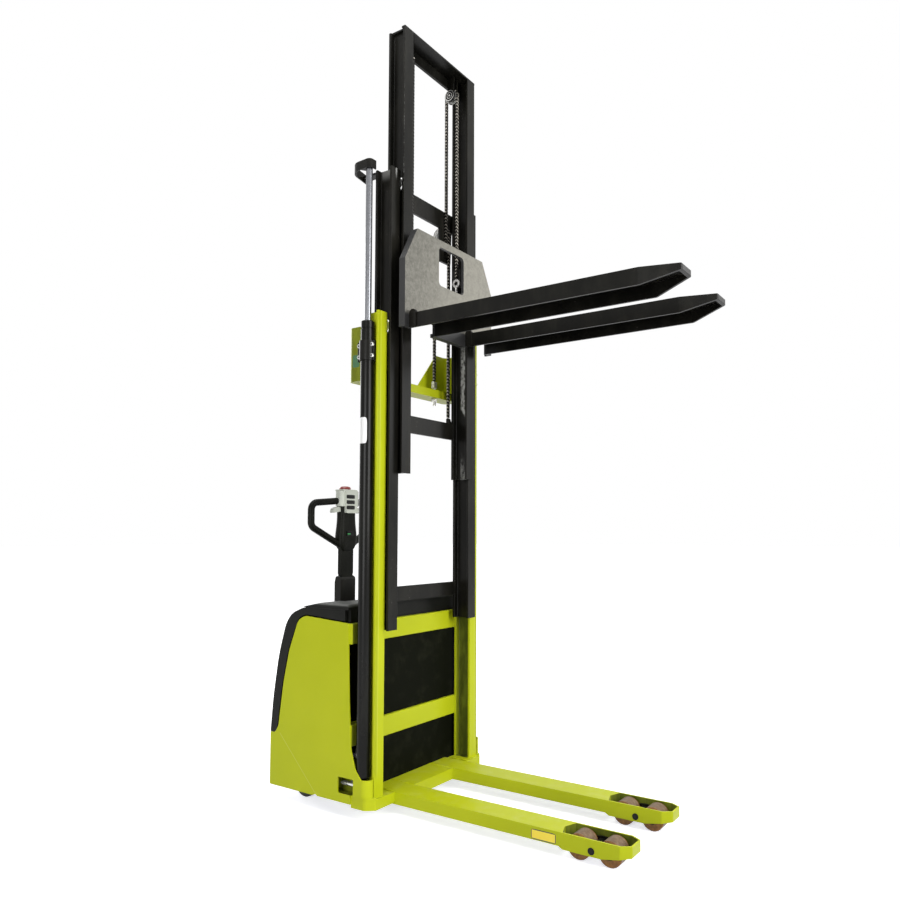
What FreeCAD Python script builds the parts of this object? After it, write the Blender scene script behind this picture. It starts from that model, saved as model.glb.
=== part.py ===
import FreeCAD, Part
import math
import os

V = FreeCAD.Vector
os.makedirs("parts", exist_ok=True)

# Axes: X forward along the forks, Y to the left, Z up from the floor.  Millimetres.
# X = 0 is the front face of the fixed mast uprights.
RUN = 0.05              # radial clearance of a wheel or sleeve on its pin
SEAT = 0.3              # gap between pieces that are bolted or laid on one another

# mast sections: rolled profiles that nest in one another
DEPTH, FLANGE, WEB, ROOT = 92.0, 12.0, 9.0, 4.0
HALF = 29.0             # half the width of a flange
NEST = 16.0             # gap from a flange edge to the next web outside it
MAST_Y = 333.0          # centre of the fixed web from the middle plane
LIP = 27.0              # front flange of the fixed section outside its web
STEP_X = 25.0           # each stage stands this far in front of the one outside it
STEP_Y = HALF + WEB / 2 + NEST
STAGES = {}
# name, how far in it nests, bottom Z, top Z
for name, n, z0, z1 in (("outer", 0, 90.0, 2074.0), ("middle", 1, 748.0, 2704.0), ("inner", 2, 1398.0, 3337.0)):
    web = MAST_Y - n * STEP_Y
    STAGES[name] = dict(front=n * STEP_X, rear=n * STEP_X - DEPTH, mid=n * STEP_X - DEPTH / 2, web=web,
                        y_out=web + HALF, y_in=web - HALF, web_out=web + WEB / 2, web_in=web - WEB / 2, z0=z0, z1=z1)
OUTER, MIDDLE, INNER = STAGES["outer"], STAGES["middle"], STAGES["inner"]
ROLLER_R = DEPTH / 2 - FLANGE - 1.0
ROLLER_W, ROLLER_PIN, ROLLER_EDGE, ROLLER_GAP = 14.0, 4.9, 3.0, 1.5
TOP_ROLLER = 55.0        # centre of the top guide rollers under the top of their upright
LIFT_DOWN, LIFT_UP = 650.0, 700.0

# lift cylinders, outside the fixed webs
CYL_R, CYL_X = 28.5, -53.0
CYL_Y = OUTER["web_out"] + SEAT + CYL_R
CYL_Z0, CYL_Z1, CYL_BORE = 170.0, 2030.0, 22.0
ROD_R, ROD_Z0 = 14.0, 1080.0
STRAP_T, STRAP_TALL = 5.0, 38.0
STRAP_Z0 = CYL_Z1 + LIFT_DOWN + 5.0
STRAP_Z1 = STRAP_Z0 + STRAP_TALL
ROD_Z1 = STRAP_Z0 + 8.0
CLAMP_Z0, CLAMP_Z1, CLAMP_T, CLAMP_EAR = 1862.0, 1945.0, 6.0, 50.0

# chains: pulley centre X, |Y|, Z, pitch radius
CHAIN_W, CHAIN_T, CHAIN_PITCH, CHAIN_WAIST = 16.0, 11.0, 31.75, 1.6
PULLEY_A = dict(x=-88.5, y=187.0, z=2581.0, r=42.0)
PULLEY_B = dict(x=-16.0, y=168.0, z=3250.0, r=32.0)
SHEAVE_HALF = CHAIN_W / 2 + 2.5
CHEEK_T = 5.0
AXLE_R = 10.0
ANCHOR_Z, YOKE_Z, EYE_Z, CARRIAGE_EYE_Z = 1876.0, 2480.0, 1690.0, 2345.0

# carriage and forks
PLATE_X0, PLATE_X1, PLATE_T, RETURN_T = 78.0, 110.0, 14.0, 12.0
PLATE_HALF, PLATE_TOP_HALF = 322.0, 243.0
PLATE_SHOULDER, PLATE_TOP = 2287.0, 2435.0
WINDOW_HALF, WINDOW_Z0, WINDOW_Z1, WINDOW_R = 93.0, 2231.0, 2404.0, 20.0
FORK_Z0, FORK_Z1 = 1997.0, 2059.0
FORK_Y, FORK_WIDE, FORK_LEN, FORK_TAPER = 200.0, 176.0, 1148.0, 141.0
FORK_OUT, FORK_IN = FORK_Y + FORK_WIDE / 2, FORK_Y - FORK_WIDE / 2
FORK_WALL, FORK_TOP, TIP_IN, TIP_Z = 8.0, 10.0, 39.0, 22.0
FORK_X0 = PLATE_X1
FORK_X1 = FORK_X0 + FORK_LEN

# chassis
PANEL_T = 5.0
PANEL_Y = CYL_Y + CYL_R + SEAT + PANEL_T
PANEL_IN = PANEL_Y - PANEL_T
BAR_X0 = OUTER["rear"] - 48.0
BARS = ((695.0, 778.0), (286.0, 372.0), (177.0, 225.0))     # bottom and top of each crossbar
LEG_Y, LEG_WIDE, LEG_WALL = 194.0, 116.0, 6.0
LEG_OUT, LEG_IN = LEG_Y + LEG_WIDE / 2, LEG_Y - LEG_WIDE / 2
LEG_Z0, LEG_Z1, LEG_X1 = 41.0, 90.0, 1047.0
TIP_CUT, TIP_SIDE = 37.0, 22.0
X_REAR = -567.0
HOOD_Z0, HOOD_Z1, TRIM_Z1, HOOD_T = BARS[0][1] + SEAT, 857.0, 832.0, 4.0
HOOD_X0, HOOD_X1 = -371.0, -112.0
COVER_T = 6.0
DECK_Z0, DECK_Z1 = 640.0, 652.0
ORIGIN_X = (X_REAR + FORK_X1) / 2   # the row's origin is under the middle of the overall length

# wheels: centre X, radius, width
LOAD_R, LOAD_X, LOAD_PIN = 45.0, (843.0, 963.0), 9.0
ROCKER_T, ROCKER_GAP = 6.0, 6.0
LOAD_W = LEG_WIDE - 2 * (LEG_WALL + ROCKER_GAP + ROCKER_T + 3.0)
BOGIE_X, BOGIE_Z, BOGIE_HEAD = 0.5 * (LOAD_X[0] + LOAD_X[1]), 51.0, 12.5
POCKET_X0 = LOAD_X[0] - LOAD_R - 8.0
DRIVE_X, DRIVE_R, DRIVE_W, DRIVE_AXLE = -455.0, 105.0, 70.0, 15.0
CASTOR_X, CASTOR_Y, CASTOR_TRAIL = -418.0, 288.0, 32.0
CASTOR_R, CASTOR_W, CASTOR_AXLE = 60.0, 40.0, 8.0
CASTOR_PLATE_Z = 172.0

# tiller
TILLER_X, PIVOT_Z, PIVOT_R = -520.0, 880.0, 9.0
TURRET_R, TURRET_Z = DRIVE_X - X_REAR, 788.0
DISC_Z0, DISC_Z1 = TURRET_Z + 5.0, TURRET_Z + 18.0
BOOT_HALF, BOOT_T, BOOT_Z1 = 50.0, 5.5, 943.0
COLUMN_R = 40.0
ARM_Z1, HEAD_Z0, HEAD_Z1, CAP_Z1 = 1066.0, 1058.0, 1350.0, 1364.0
LOOP_R = 16.0


def rounded(points, place):
    """Closed outline through corners (a, b, radius); place(a, b) gives the corner in space."""
    corners = [(place(p[0], p[1]), p[2] if len(p) > 2 else 0.0) for p in points]
    arcs = []
    for i, (p, r) in enumerate(corners):
        if r == 0:
            arcs.append((p, None, p))
            continue
        u = (corners[i - 1][0] - p).normalize()
        w = (corners[(i + 1) % len(corners)][0] - p).normalize()
        half = u.getAngle(w) / 2
        inward = (u + w).normalize()
        reach = r / math.tan(half)
        arcs.append((p + u * reach, p + inward * (r / math.sin(half) - r), p + w * reach))
    edges = []
    for i, (start, middle, end) in enumerate(arcs):
        if middle is not None:
            edges.append(Part.Arc(start, middle, end).toShape())
        following = arcs[(i + 1) % len(arcs)][0]
        if (following - end).Length > 1e-6:
            edges.append(Part.makeLine(end, following))
    return Part.Wire(edges)


def prism_x(points, x0, x1):
    """Outline of (y, z, radius) corners pushed from x0 to x1."""
    return Part.Face(rounded(points, lambda a, b: V(x0, a, b))).extrude(V(x1 - x0, 0, 0))


def prism_y(points, y0, y1):
    """Outline of (x, z, radius) corners pushed from y0 to y1."""
    return Part.Face(rounded(points, lambda a, b: V(a, y0, b))).extrude(V(0, y1 - y0, 0))


def prism_z(points, z0, z1):
    """Outline of (x, y, radius) corners pushed from z0 to z1."""
    return Part.Face(rounded(points, lambda a, b: V(a, b, z0))).extrude(V(0, 0, z1 - z0))


def rect(a0, a1, b0, b1, r=0.0):
    return [(a0, b0, r), (a1, b0, r), (a1, b1, r), (a0, b1, r)]


def box(x0, x1, y0, y1, z0, z1):
    return Part.makeBox(x1 - x0, y1 - y0, z1 - z0, V(x0, y0, z0))


def rod(p, q, r):
    p, q = V(*p), V(*q)
    return Part.makeCylinder(r, (q - p).Length, p, q - p)


def turned(profile, centre, axis):
    """Body of revolution: profile of (radius, distance along the axis) corners."""
    wire = rounded(profile, lambda a, b: V(a, 0, b))
    body = Part.Face(wire).revolve(V(0, 0, 0), V(0, 0, 1), 360)
    turn = FreeCAD.Rotation(V(0, 0, 1), V(*axis))
    body.Placement = FreeCAD.Placement(V(*centre), turn)
    return body


def fuse(shapes):
    out = shapes[0]
    if len(shapes) > 1:
        out = out.multiFuse(shapes[1:])
    return out.removeSplitter()


def mirror(shape):
    return shape.mirror(V(0, 0, 0), V(0, 1, 0))


def pair(shape):
    """The left-hand piece and its mirror image."""
    return [mirror(shape), shape]


NODES = {}


def save(name, solids):
    NODES[name] = [solid for shape in solids for solid in shape.Solids]


def upright(s, outside):
    """Left-hand rolled section: web with a flange in front and one behind, each rounded at its root."""
    f, r = s["front"], s["rear"]
    points = [(f, s["y_in"], 2), (f, s["web"] + outside, 2), (f - FLANGE, s["web"] + outside, 2),
              (f - FLANGE, s["web_out"], ROOT)]
    if outside < HALF:
        points += [(r, s["web_out"], 2)]
    else:
        points += [(r + FLANGE, s["web_out"], ROOT), (r + FLANGE, s["y_out"], 2), (r, s["y_out"], 2)]
    points += [(r, s["y_in"], 2), (r + FLANGE, s["y_in"], 2), (r + FLANGE, s["web_in"], ROOT),
               (f - FLANGE, s["web_in"], ROOT), (f - FLANGE, s["y_in"], 2)]
    return prism_z(points, s["z0"], s["z1"])


def track_roller(at, away):
    """Roller turned with rounded edges, its face at the given place and its width away from it along Y."""
    profile = [(0, 0), (ROLLER_R - ROLLER_EDGE, 0), (ROLLER_R, ROLLER_EDGE), (ROLLER_R, ROLLER_W - ROLLER_EDGE),
               (ROLLER_R - ROLLER_EDGE, ROLLER_W), (0, ROLLER_W)]
    return turned(profile, at, (0, away, 0))


def guide_roller(carrier, track, z, side):
    """Roller and pin on the left web of the carrier, in the channel of the track; side 1 faces outwards."""
    own = carrier["web_out"] if side > 0 else carrier["web_in"]
    far = (track["web_in"] if side > 0 else track["web_out"]) - side * ROLLER_GAP
    body = track_roller((track["mid"], far, z), -side)
    return fuse([body, rod((track["mid"], own, z), (track["mid"], far, z), ROLLER_PIN)])


def sheave(p):
    """Chain pulley with two rims and a bore, turned."""
    root, h = p["r"] - CHAIN_T / 2 - SEAT, SHEAVE_HALF
    profile = [(AXLE_R + RUN, -h), (p["r"], -h), (p["r"], -CHAIN_W / 2 - 0.5), (root, -CHAIN_W / 2 - 0.5),
               (root, CHAIN_W / 2 + 0.5), (p["r"], CHAIN_W / 2 + 0.5), (p["r"], h), (AXLE_R + RUN, h)]
    return turned(profile, (p["x"], p["y"], p["z"]), (0, 1, 0))


def wrap(p):
    """Half turn of chain over its pulley."""
    half = Part.makeCylinder(p["r"] + CHAIN_T / 2, CHAIN_W, V(p["x"], p["y"] - CHAIN_W / 2, p["z"]), V(0, 1, 0))
    half = half.cut(rod((p["x"], p["y"] - 50, p["z"]), (p["x"], p["y"] + 50, p["z"]), p["r"] - CHAIN_T / 2))
    reach = p["r"] + CHAIN_T
    return half.common(box(p["x"] - reach, p["x"] + reach, p["y"] - 50, p["y"] + 50, p["z"], p["z"] + reach))


def strand(x, y, z0, z1):
    """Straight run of leaf chain: its plates narrow between the pins."""
    links = int((z1 - z0) / CHAIN_PITCH)
    step = (z1 - z0) / links
    edge = []
    for i in range(links):
        edge += [(CHAIN_T / 2, z0 + i * step), (CHAIN_T / 2 - CHAIN_WAIST, z0 + (i + 0.5) * step)]
    edge.append((CHAIN_T / 2, z1))
    points = [(x + a, z) for a, z in edge] + [(x - a, z) for a, z in reversed(edge)]
    return prism_y(points, y - CHAIN_W / 2, y + CHAIN_W / 2)


def hexagon(x, y, z0, z1, flats):
    r = flats / math.sqrt(3)
    corners = [(x + r * math.cos(math.radians(60 * i)), y + r * math.sin(math.radians(60 * i))) for i in range(6)]
    return prism_z(corners, z0, z1)


def eye(x, y, z, r, hole, half):
    """Ring at the end of a chain, its hole along Y."""
    return rod((x, y - half, z), (x, y + half, z), r).cut(rod((x, y - 2 * half, z), (x, y + 2 * half, z), hole))


# Fixed mast: two rolled uprights, a bent and cut crossmember behind them, and the anchors of the first chains.
save("outer_mast_uprights", pair(upright(OUTER, LIP)))
outer_rollers = [guide_roller(OUTER, MIDDLE, OUTER["z1"] - TOP_ROLLER, -1)]
save("outer_guide_rollers", pair(outer_rollers[0]))

CROSS_T, CROSS_X0, CROSS_X1, CROSS_Z0, CROSS_Z1 = 6.0, -184.0, -84.0, 1790.0, 2023.0
c_in = OUTER["web_out"]
c_out = c_in + CROSS_T
bend = 20.0
channel = [(CROSS_X1, c_out), (CROSS_X0, c_out, bend + CROSS_T), (CROSS_X0, -c_out, bend + CROSS_T), (CROSS_X1, -c_out),
           (CROSS_X1, -c_in), (CROSS_X0 + CROSS_T, -c_in, bend), (CROSS_X0 + CROSS_T, c_in, bend), (CROSS_X1, c_in)]
notch = [(-262, CROSS_Z1 + 5), (-262, CROSS_Z1), (-112, 1838, 12), (112, 1838, 12), (262, CROSS_Z1), (262, CROSS_Z1 + 5)]
sill_x1 = OUTER["rear"] - 6.0
sill = prism_z([(CROSS_X0 + CROSS_T, -c_in, bend), (sill_x1, -c_in), (sill_x1, c_in),
                (CROSS_X0 + CROSS_T, c_in, bend)], CROSS_Z0, CROSS_Z0 + 8)
lip = box(sill_x1 - CROSS_T, sill_x1, -300, 300, CROSS_Z0 + 8, CROSS_Z0 + 38)
anchor_x = PULLEY_A["x"] - PULLEY_A["r"]
member = prism_z(channel, CROSS_Z0, CROSS_Z1).cut(prism_x(notch, CROSS_X0 - 5, CROSS_X0 + CROSS_T + 1))
member = fuse([member, sill, lip])
anchors = []
for s in (-1, 1):
    y = s * PULLEY_A["y"]
    member = member.cut(rod((anchor_x, y, CROSS_Z0 - 5), (anchor_x, y, CROSS_Z0 + 12), 8))
    anchors.append(fuse([rod((anchor_x, y, CROSS_Z0 - 32), (anchor_x, y, 1850), 8),
                         hexagon(anchor_x, y, CROSS_Z0 - 14, CROSS_Z0, 27), hexagon(anchor_x, y, CROSS_Z0 + 8, CROSS_Z0 + 22, 27),
                         prism_y([(anchor_x - 8, 1842), (anchor_x + 8, 1842), (anchor_x + 8, ANCHOR_Z, 7.9),
                                  (anchor_x - 8, ANCHOR_Z, 7.9)], y - 11, y + 11)]))
save("outer_mast_crossmember", [member])
save("outer_chain_anchors", anchors)

# Lift cylinders: tube with its gland and foot, a two-part clamp on the web, chromed rod and bent head strap.
tube = turned([(0, 96 + SEAT), (19, 96 + SEAT), (19, CYL_Z0 - 8), (CYL_R, CYL_Z0), (CYL_R, CYL_Z1 - 36),
               (CYL_R - 2.5, CYL_Z1 - 35), (CYL_R - 2.5, CYL_Z1 - 31), (CYL_R, CYL_Z1 - 30), (CYL_R, CYL_Z1 - 3), (CYL_R - 3, CYL_Z1),
               (ROD_R + RUN, CYL_Z1), (ROD_R + RUN, CYL_Z1 - 70), (CYL_BORE, CYL_Z1 - 70), (CYL_BORE, CYL_Z0 + 30),
               (0, CYL_Z0 + 30)], (CYL_X, CYL_Y, 0), (0, 0, 1))
save("lift_cylinder_tubes", pair(tube))
inner_half = prism_z(rect(CYL_X - CLAMP_EAR + 4, OUTER["front"] - FLANGE - ROOT - 1, OUTER["web_out"], CYL_Y, 2),
                     CLAMP_Z0, CLAMP_Z1)
inner_half = inner_half.cut(box(CROSS_X0, CROSS_X1, OUTER["web_out"] - 1, c_out, CLAMP_Z0 - 1, CLAMP_Z1 + 1))
ears = prism_z(rect(CYL_X - CLAMP_EAR, CYL_X + CLAMP_EAR - 9, CYL_Y, CYL_Y + 8, 3), CLAMP_Z0, CLAMP_Z1)
hoop = rod((CYL_X, CYL_Y, CLAMP_Z0), (CYL_X, CYL_Y, CLAMP_Z1), CYL_R + CLAMP_T)
hoop = hoop.common(box(CYL_X - 60, CYL_X + 60, CYL_Y, CYL_Y + 60, CLAMP_Z0, CLAMP_Z1))
clamp = fuse([inner_half, ears, hoop]).cut(rod((CYL_X, CYL_Y, CLAMP_Z0 - 5), (CYL_X, CYL_Y, CLAMP_Z1 + 5), CYL_R))
for dx, z in ((-37, CLAMP_Z0 + 18), (-37, CLAMP_Z1 - 18), (35, CLAMP_Z0 + 18), (35, CLAMP_Z1 - 18)):
    clamp = fuse([clamp, rod((CYL_X + dx, CYL_Y + 8, z), (CYL_X + dx, CYL_Y + 15, z), 7)])
save("cylinder_clamps", pair(clamp))
save("lift_cylinder_rods", pair(rod((CYL_X, CYL_Y, ROD_Z0), (CYL_X, CYL_Y, ROD_Z1), ROD_R)))
front, side = CYL_X + ROD_R + 9.0, CYL_Y + ROD_R + 8.0
path = [(front, c_out + 6, 0), (front, side, 18), (CYL_X - 90, side - 4, 55), (CYL_X - 112, 262, 0)]
inside = [(x + dx, y + dy, r) for (x, y, r), dx, dy in zip(path, (-STRAP_T, -STRAP_T, STRAP_T, STRAP_T),
                                                         (0, -STRAP_T, -STRAP_T, 0))]
inside = [(x, y, max(r - STRAP_T, 0)) for x, y, r in inside]
band = prism_z(path + inside[::-1], STRAP_Z0, STRAP_Z1)
head = rod((CYL_X, CYL_Y, ROD_Z1), (CYL_X, CYL_Y, STRAP_Z1 - 2), ROD_R + 3)
head_web = prism_z([(front - 2, c_out + 8), (front - 2, side - 2, 12), (CYL_X - 60, side - 4), (CYL_X - 34, c_out + 8)],
                   ROD_Z1, ROD_Z1 + 10)
link = prism_z([(CYL_X - 110, 265), (MIDDLE["rear"], 265), (MIDDLE["rear"], 300), (CYL_X - 109, 300)],
               ROD_Z1 + 2, ROD_Z1 + 12)
save("rod_head_straps", pair(fuse([band, head, head_web, link])))

# Middle stage: uprights with their guide rollers, two crossbars, and the yokes that hold the first pulleys.
save("middle_mast_uprights", pair(upright(MIDDLE, HALF)))
save("middle_guide_rollers", pair(guide_roller(MIDDLE, OUTER, MIDDLE["z0"] + 52, 1))
     + pair(guide_roller(MIDDLE, INNER, MIDDLE["z1"] - TOP_ROLLER, -1)))
BAR_T = FLANGE
m_x0, m_x1 = MIDDLE["rear"], MIDDLE["rear"] + BAR_T
top_bar = prism_x(rect(-MIDDLE["y_in"], MIDDLE["y_in"], 2602, 2688), m_x0, m_x1)
slot_half, slot_top = SHEAVE_HALF + 3.0, PULLEY_A["z"] + PULLEY_A["r"] + CHAIN_T / 2 + 4
for s in (-1, 1):
    y = s * PULLEY_A["y"]
    top_bar = top_bar.cut(prism_x(rect(y - slot_half, y + slot_half, 2590, slot_top, 3), m_x0 - 5, m_x1 + 5))
save("middle_mast_crossbars", [top_bar, box(m_x0, m_x1, -MIDDLE["y_in"], MIDDLE["y_in"], 855, 917)])
back_z0 = YOKE_Z - 40
back = prism_x([(130, back_z0, 10), (PULLEY_A["y"] + 26, back_z0, 10), (PULLEY_A["y"] + 34, 2602), (130, 2602)], m_x0, m_x1)
back = back.cut(prism_x(rect(PULLEY_A["y"] - slot_half, PULLEY_A["y"] + slot_half,
                             PULLEY_A["z"] - PULLEY_A["r"] - 6, 2610, 3), m_x0 - 5, m_x1 + 5))
cheeks = []
for t in (-1, 1):
    y0, y1 = sorted((PULLEY_A["y"] + t * (SHEAVE_HALF + 1), PULLEY_A["y"] + t * (SHEAVE_HALF + 1 + CHEEK_T)))
    cheeks.append(prism_y([(PULLEY_A["x"] - 20, PULLEY_A["z"] - 20, 14), (m_x1, PULLEY_A["z"] - 30), (m_x1, 2602),
                           (PULLEY_A["x"] - 20, 2602, 6)], y0, y1))
axle = rod((PULLEY_A["x"], PULLEY_A["y"] - SHEAVE_HALF - 4, PULLEY_A["z"]),
           (PULLEY_A["x"], PULLEY_A["y"] + SHEAVE_HALF + 4, PULLEY_A["z"]), AXLE_R)
stub_x = PULLEY_B["x"] - PULLEY_B["r"]
stub = prism_y([(m_x1, YOKE_Z - 28), (stub_x + 6, YOKE_Z - 20, 5), (stub_x + 6, YOKE_Z, 4), (m_x1, YOKE_Z)],
               PULLEY_B["y"] - 7, PULLEY_B["y"] + 7)
save("middle_chain_yokes", pair(fuse([back, axle, stub] + cheeks)))
save("middle_chain_pulleys", pair(sheave(PULLEY_A)))
save("middle_chain_wraps", pair(wrap(PULLEY_A)))
save("outer_chain_strands", pair(strand(anchor_x, PULLEY_A["y"], ANCHOR_Z + SEAT, PULLEY_A["z"])))

# Inner stage: uprights with rollers, a top plate over both, a recessed cross plate and the second pulleys.
save("inner_mast_uprights", pair(upright(INNER, HALF)))
save("inner_guide_rollers", pair(guide_roller(INNER, MIDDLE, INNER["z0"] + 52, 1)))
i_x0, i_x1 = INNER["rear"], INNER["rear"] + BAR_T
TOP_T = 8.0
clear = MIDDLE["front"] + 6.0
top_plate = prism_z([(i_x0, MIDDLE["y_in"] - 6), (clear, MIDDLE["y_in"] - 6), (clear, INNER["y_out"]),
                     (INNER["front"], INNER["y_out"]), (INNER["front"], -INNER["y_out"]), (clear, -INNER["y_out"]),
                     (clear, 6 - MIDDLE["y_in"]), (i_x0, 6 - MIDDLE["y_in"])], INNER["z1"], INNER["z1"] + TOP_T)
cross_plate = box(i_x0, i_x1, -INNER["y_in"], INNER["y_in"], INNER["z1"] - 46, INNER["z1"])
lower_bar = box(i_x0, i_x1, -INNER["y_in"], INNER["y_in"], 1587, 1664)
eye_x = PULLEY_A["x"] + PULLEY_A["r"]
for s in (-1, 1):
    y = s * PULLEY_A["y"]
    lug = prism_y([(eye_x - 6, 1640), (i_x1, 1640), (i_x1, 1664), (eye_x + 6, EYE_Z, 6), (eye_x - 6, EYE_Z, 5.9)], y - 8, y + 8)
    lower_bar = fuse([lower_bar, lug])
save("inner_mast_crossbars", [fuse([cross_plate, top_plate]), lower_bar])
hanger = []
for t in (-1, 1):
    y0, y1 = sorted((PULLEY_B["y"] + t * (SHEAVE_HALF + 1), PULLEY_B["y"] + t * (SHEAVE_HALF + 1 + CHEEK_T)))
    hanger.append(prism_y([(i_x1, PULLEY_B["z"] - 18, 12), (PULLEY_B["x"] + 18, PULLEY_B["z"] - 18, 15),
                           (PULLEY_B["x"] + 24, INNER["z1"]), (i_x1, INNER["z1"])], y0, y1))
hanger.append(rod((PULLEY_B["x"], PULLEY_B["y"] - SHEAVE_HALF - 8, PULLEY_B["z"]),
                  (PULLEY_B["x"], PULLEY_B["y"] + SHEAVE_HALF + 8, PULLEY_B["z"]), AXLE_R))
save("inner_pulley_hangers", pair(fuse(hanger)))
save("inner_chain_pulleys", pair(sheave(PULLEY_B)))
save("inner_chain_wraps", pair(wrap(PULLEY_B)))
save("inner_lift_strands", pair(strand(eye_x, PULLEY_A["y"], EYE_Z + SEAT, PULLEY_A["z"])))
save("middle_lift_strands", pair(strand(stub_x, PULLEY_B["y"], YOKE_Z + SEAT, PULLEY_B["z"])))

# Carriage: a burnt-out front plate with side returns, roller arms behind it, chain eyes and two hollow forks.
shape = [(-PLATE_HALF, FORK_Z0, 4), (PLATE_HALF, FORK_Z0, 4), (PLATE_HALF, PLATE_SHOULDER, 6),
         (PLATE_TOP_HALF, PLATE_TOP, 6), (-PLATE_TOP_HALF, PLATE_TOP, 6), (-PLATE_HALF, PLATE_SHOULDER, 6)]
lean = (PLATE_HALF - PLATE_TOP_HALF) / (PLATE_TOP - PLATE_SHOULDER)
inset = PLATE_TOP_HALF - RETURN_T + lean * RETURN_T
hollow = [(RETURN_T - PLATE_HALF, FORK_Z0 - 20), (PLATE_HALF - RETURN_T, FORK_Z0 - 20),
          (PLATE_HALF - RETURN_T, PLATE_SHOULDER - 4), (inset - 2, PLATE_TOP - RETURN_T),
          (2 - inset, PLATE_TOP - RETURN_T), (RETURN_T - PLATE_HALF, PLATE_SHOULDER - 4)]
rear_face = PLATE_X1 - PLATE_T
plate = prism_x(shape, PLATE_X0, PLATE_X1).cut(prism_x(hollow, PLATE_X0 - 1, rear_face))
plate = fuse([plate, box(PLATE_X0, rear_face, -FORK_IN, FORK_IN, FORK_Z0, FORK_Z0 + 16)])
window = rect(-WINDOW_HALF, WINDOW_HALF, WINDOW_Z0, WINDOW_Z1, WINDOW_R)
plate = plate.cut(prism_x(window, PLATE_X0 - 2, PLATE_X1 + 2))
for s in (-1, 1):
    tunnel = rect(s * FORK_Y - FORK_WIDE / 2 + FORK_WALL, s * FORK_Y + FORK_WIDE / 2 - FORK_WALL,
                  FORK_Z0 - 10, FORK_Z1 - FORK_TOP, 4)
    plate = plate.cut(prism_x(tunnel, PLATE_X0 - 5, PLATE_X1 + 5))
save("carriage_plate", [plate])
ARM_Y0, ARM_Y1 = INNER["y_in"] - 16.0, INNER["y_in"] - 6.0
track = INNER["mid"]
roller_zs = (FORK_Z1 + ROLLER_R, WINDOW_Z1 - 40)
BEAM_Z0, BEAM_Z1 = WINDOW_Z0 - 26, WINDOW_Z0 - 6
arm = prism_y([(track - ROLLER_R, FORK_Z1 - 6, 10), (rear_face, FORK_Z1 - 6), (rear_face, PLATE_TOP - RETURN_T - 6),
               (track + ROLLER_R, PLATE_TOP - RETURN_T - 20, 20), (track - ROLLER_R, WINDOW_Z1, 20)], ARM_Y0, ARM_Y1)
for z0, z1 in ((FORK_Z1 + 85, BEAM_Z0 - 10), (BEAM_Z1 + 10, WINDOW_Z1 - 95)):
    arm = arm.cut(prism_y(rect(track - 8, 60, z0, z1, 16), ARM_Y0 - 5, ARM_Y1 + 5))
for z in roller_zs:
    far = INNER["web_in"] - ROLLER_GAP
    arm = fuse([arm, track_roller((track, far, z), -1), rod((track, ARM_Y1, z), (track, far - 1, z), AXLE_R)])
save("carriage_roller_arms", pair(arm))
ring_x, ring_z = PULLEY_B["x"] + PULLEY_B["r"], CARRIAGE_EYE_Z - 20.0
eyes = [prism_y(rect(ring_x - 14, ring_x + 14, BEAM_Z0, BEAM_Z1, 3), -ARM_Y0, ARM_Y0)]
for s in (-1, 1):
    y = s * PULLEY_B["y"]
    eyes += [rod((ring_x, y, BEAM_Z0 - 22), (ring_x, y, ring_z - 14), 7), eye(ring_x, y, ring_z, 20, 10, 6),
             hexagon(ring_x, y, BEAM_Z1, BEAM_Z1 + 14, 24), hexagon(ring_x, y, BEAM_Z0 - 14, BEAM_Z0, 24)]
save("carriage_chain_eyes", [fuse(eyes)])
save("carriage_lift_strands", pair(strand(ring_x, PULLEY_B["y"], CARRIAGE_EYE_Z + SEAT, PULLEY_B["z"])))


def fork():
    """Left fork: a channel open below, narrowed and thinned towards its tip."""
    xt, w = FORK_X1 - FORK_TAPER, FORK_WALL
    plan = [(FORK_X0, FORK_IN), (xt, FORK_IN, 30), (FORK_X1, FORK_IN + TIP_IN, 10), (FORK_X1, FORK_OUT - TIP_IN, 10),
            (xt, FORK_OUT, 30), (FORK_X0, FORK_OUT)]
    side_view = [(FORK_X0, FORK_Z0), (xt, FORK_Z0, 40), (FORK_X1, FORK_Z1 - TIP_Z, 3), (FORK_X1, FORK_Z1, 3), (FORK_X0, FORK_Z1)]
    body = prism_z(plan, FORK_Z0, FORK_Z1).common(prism_y(side_view, 0, FORK_OUT + 10))
    plan_in = [(FORK_X0 - 5, FORK_IN + w), (xt - 4, FORK_IN + w), (FORK_X1 - 12, FORK_IN + TIP_IN + w),
               (FORK_X1 - 12, FORK_OUT - TIP_IN - w), (xt - 4, FORK_OUT - w), (FORK_X0 - 5, FORK_OUT - w)]
    body = body.cut(prism_z(plan_in, FORK_Z0 - 5, FORK_Z1 - FORK_TOP))
    for y0, y1 in ((FORK_IN - 6, FORK_IN + w), (FORK_OUT - w, FORK_OUT + 6)):
        lug = prism_y([(FORK_X0, FORK_Z0 + 2), (FORK_X0 + 34, FORK_Z0 + 2), (FORK_X0 + 34, FORK_Z1 + 14, 16),
                       (FORK_X0, FORK_Z1 + 14, 16)], y0, y1)
        body = fuse([body, lug])
    return body


save("forks", pair(fork()))

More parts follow.
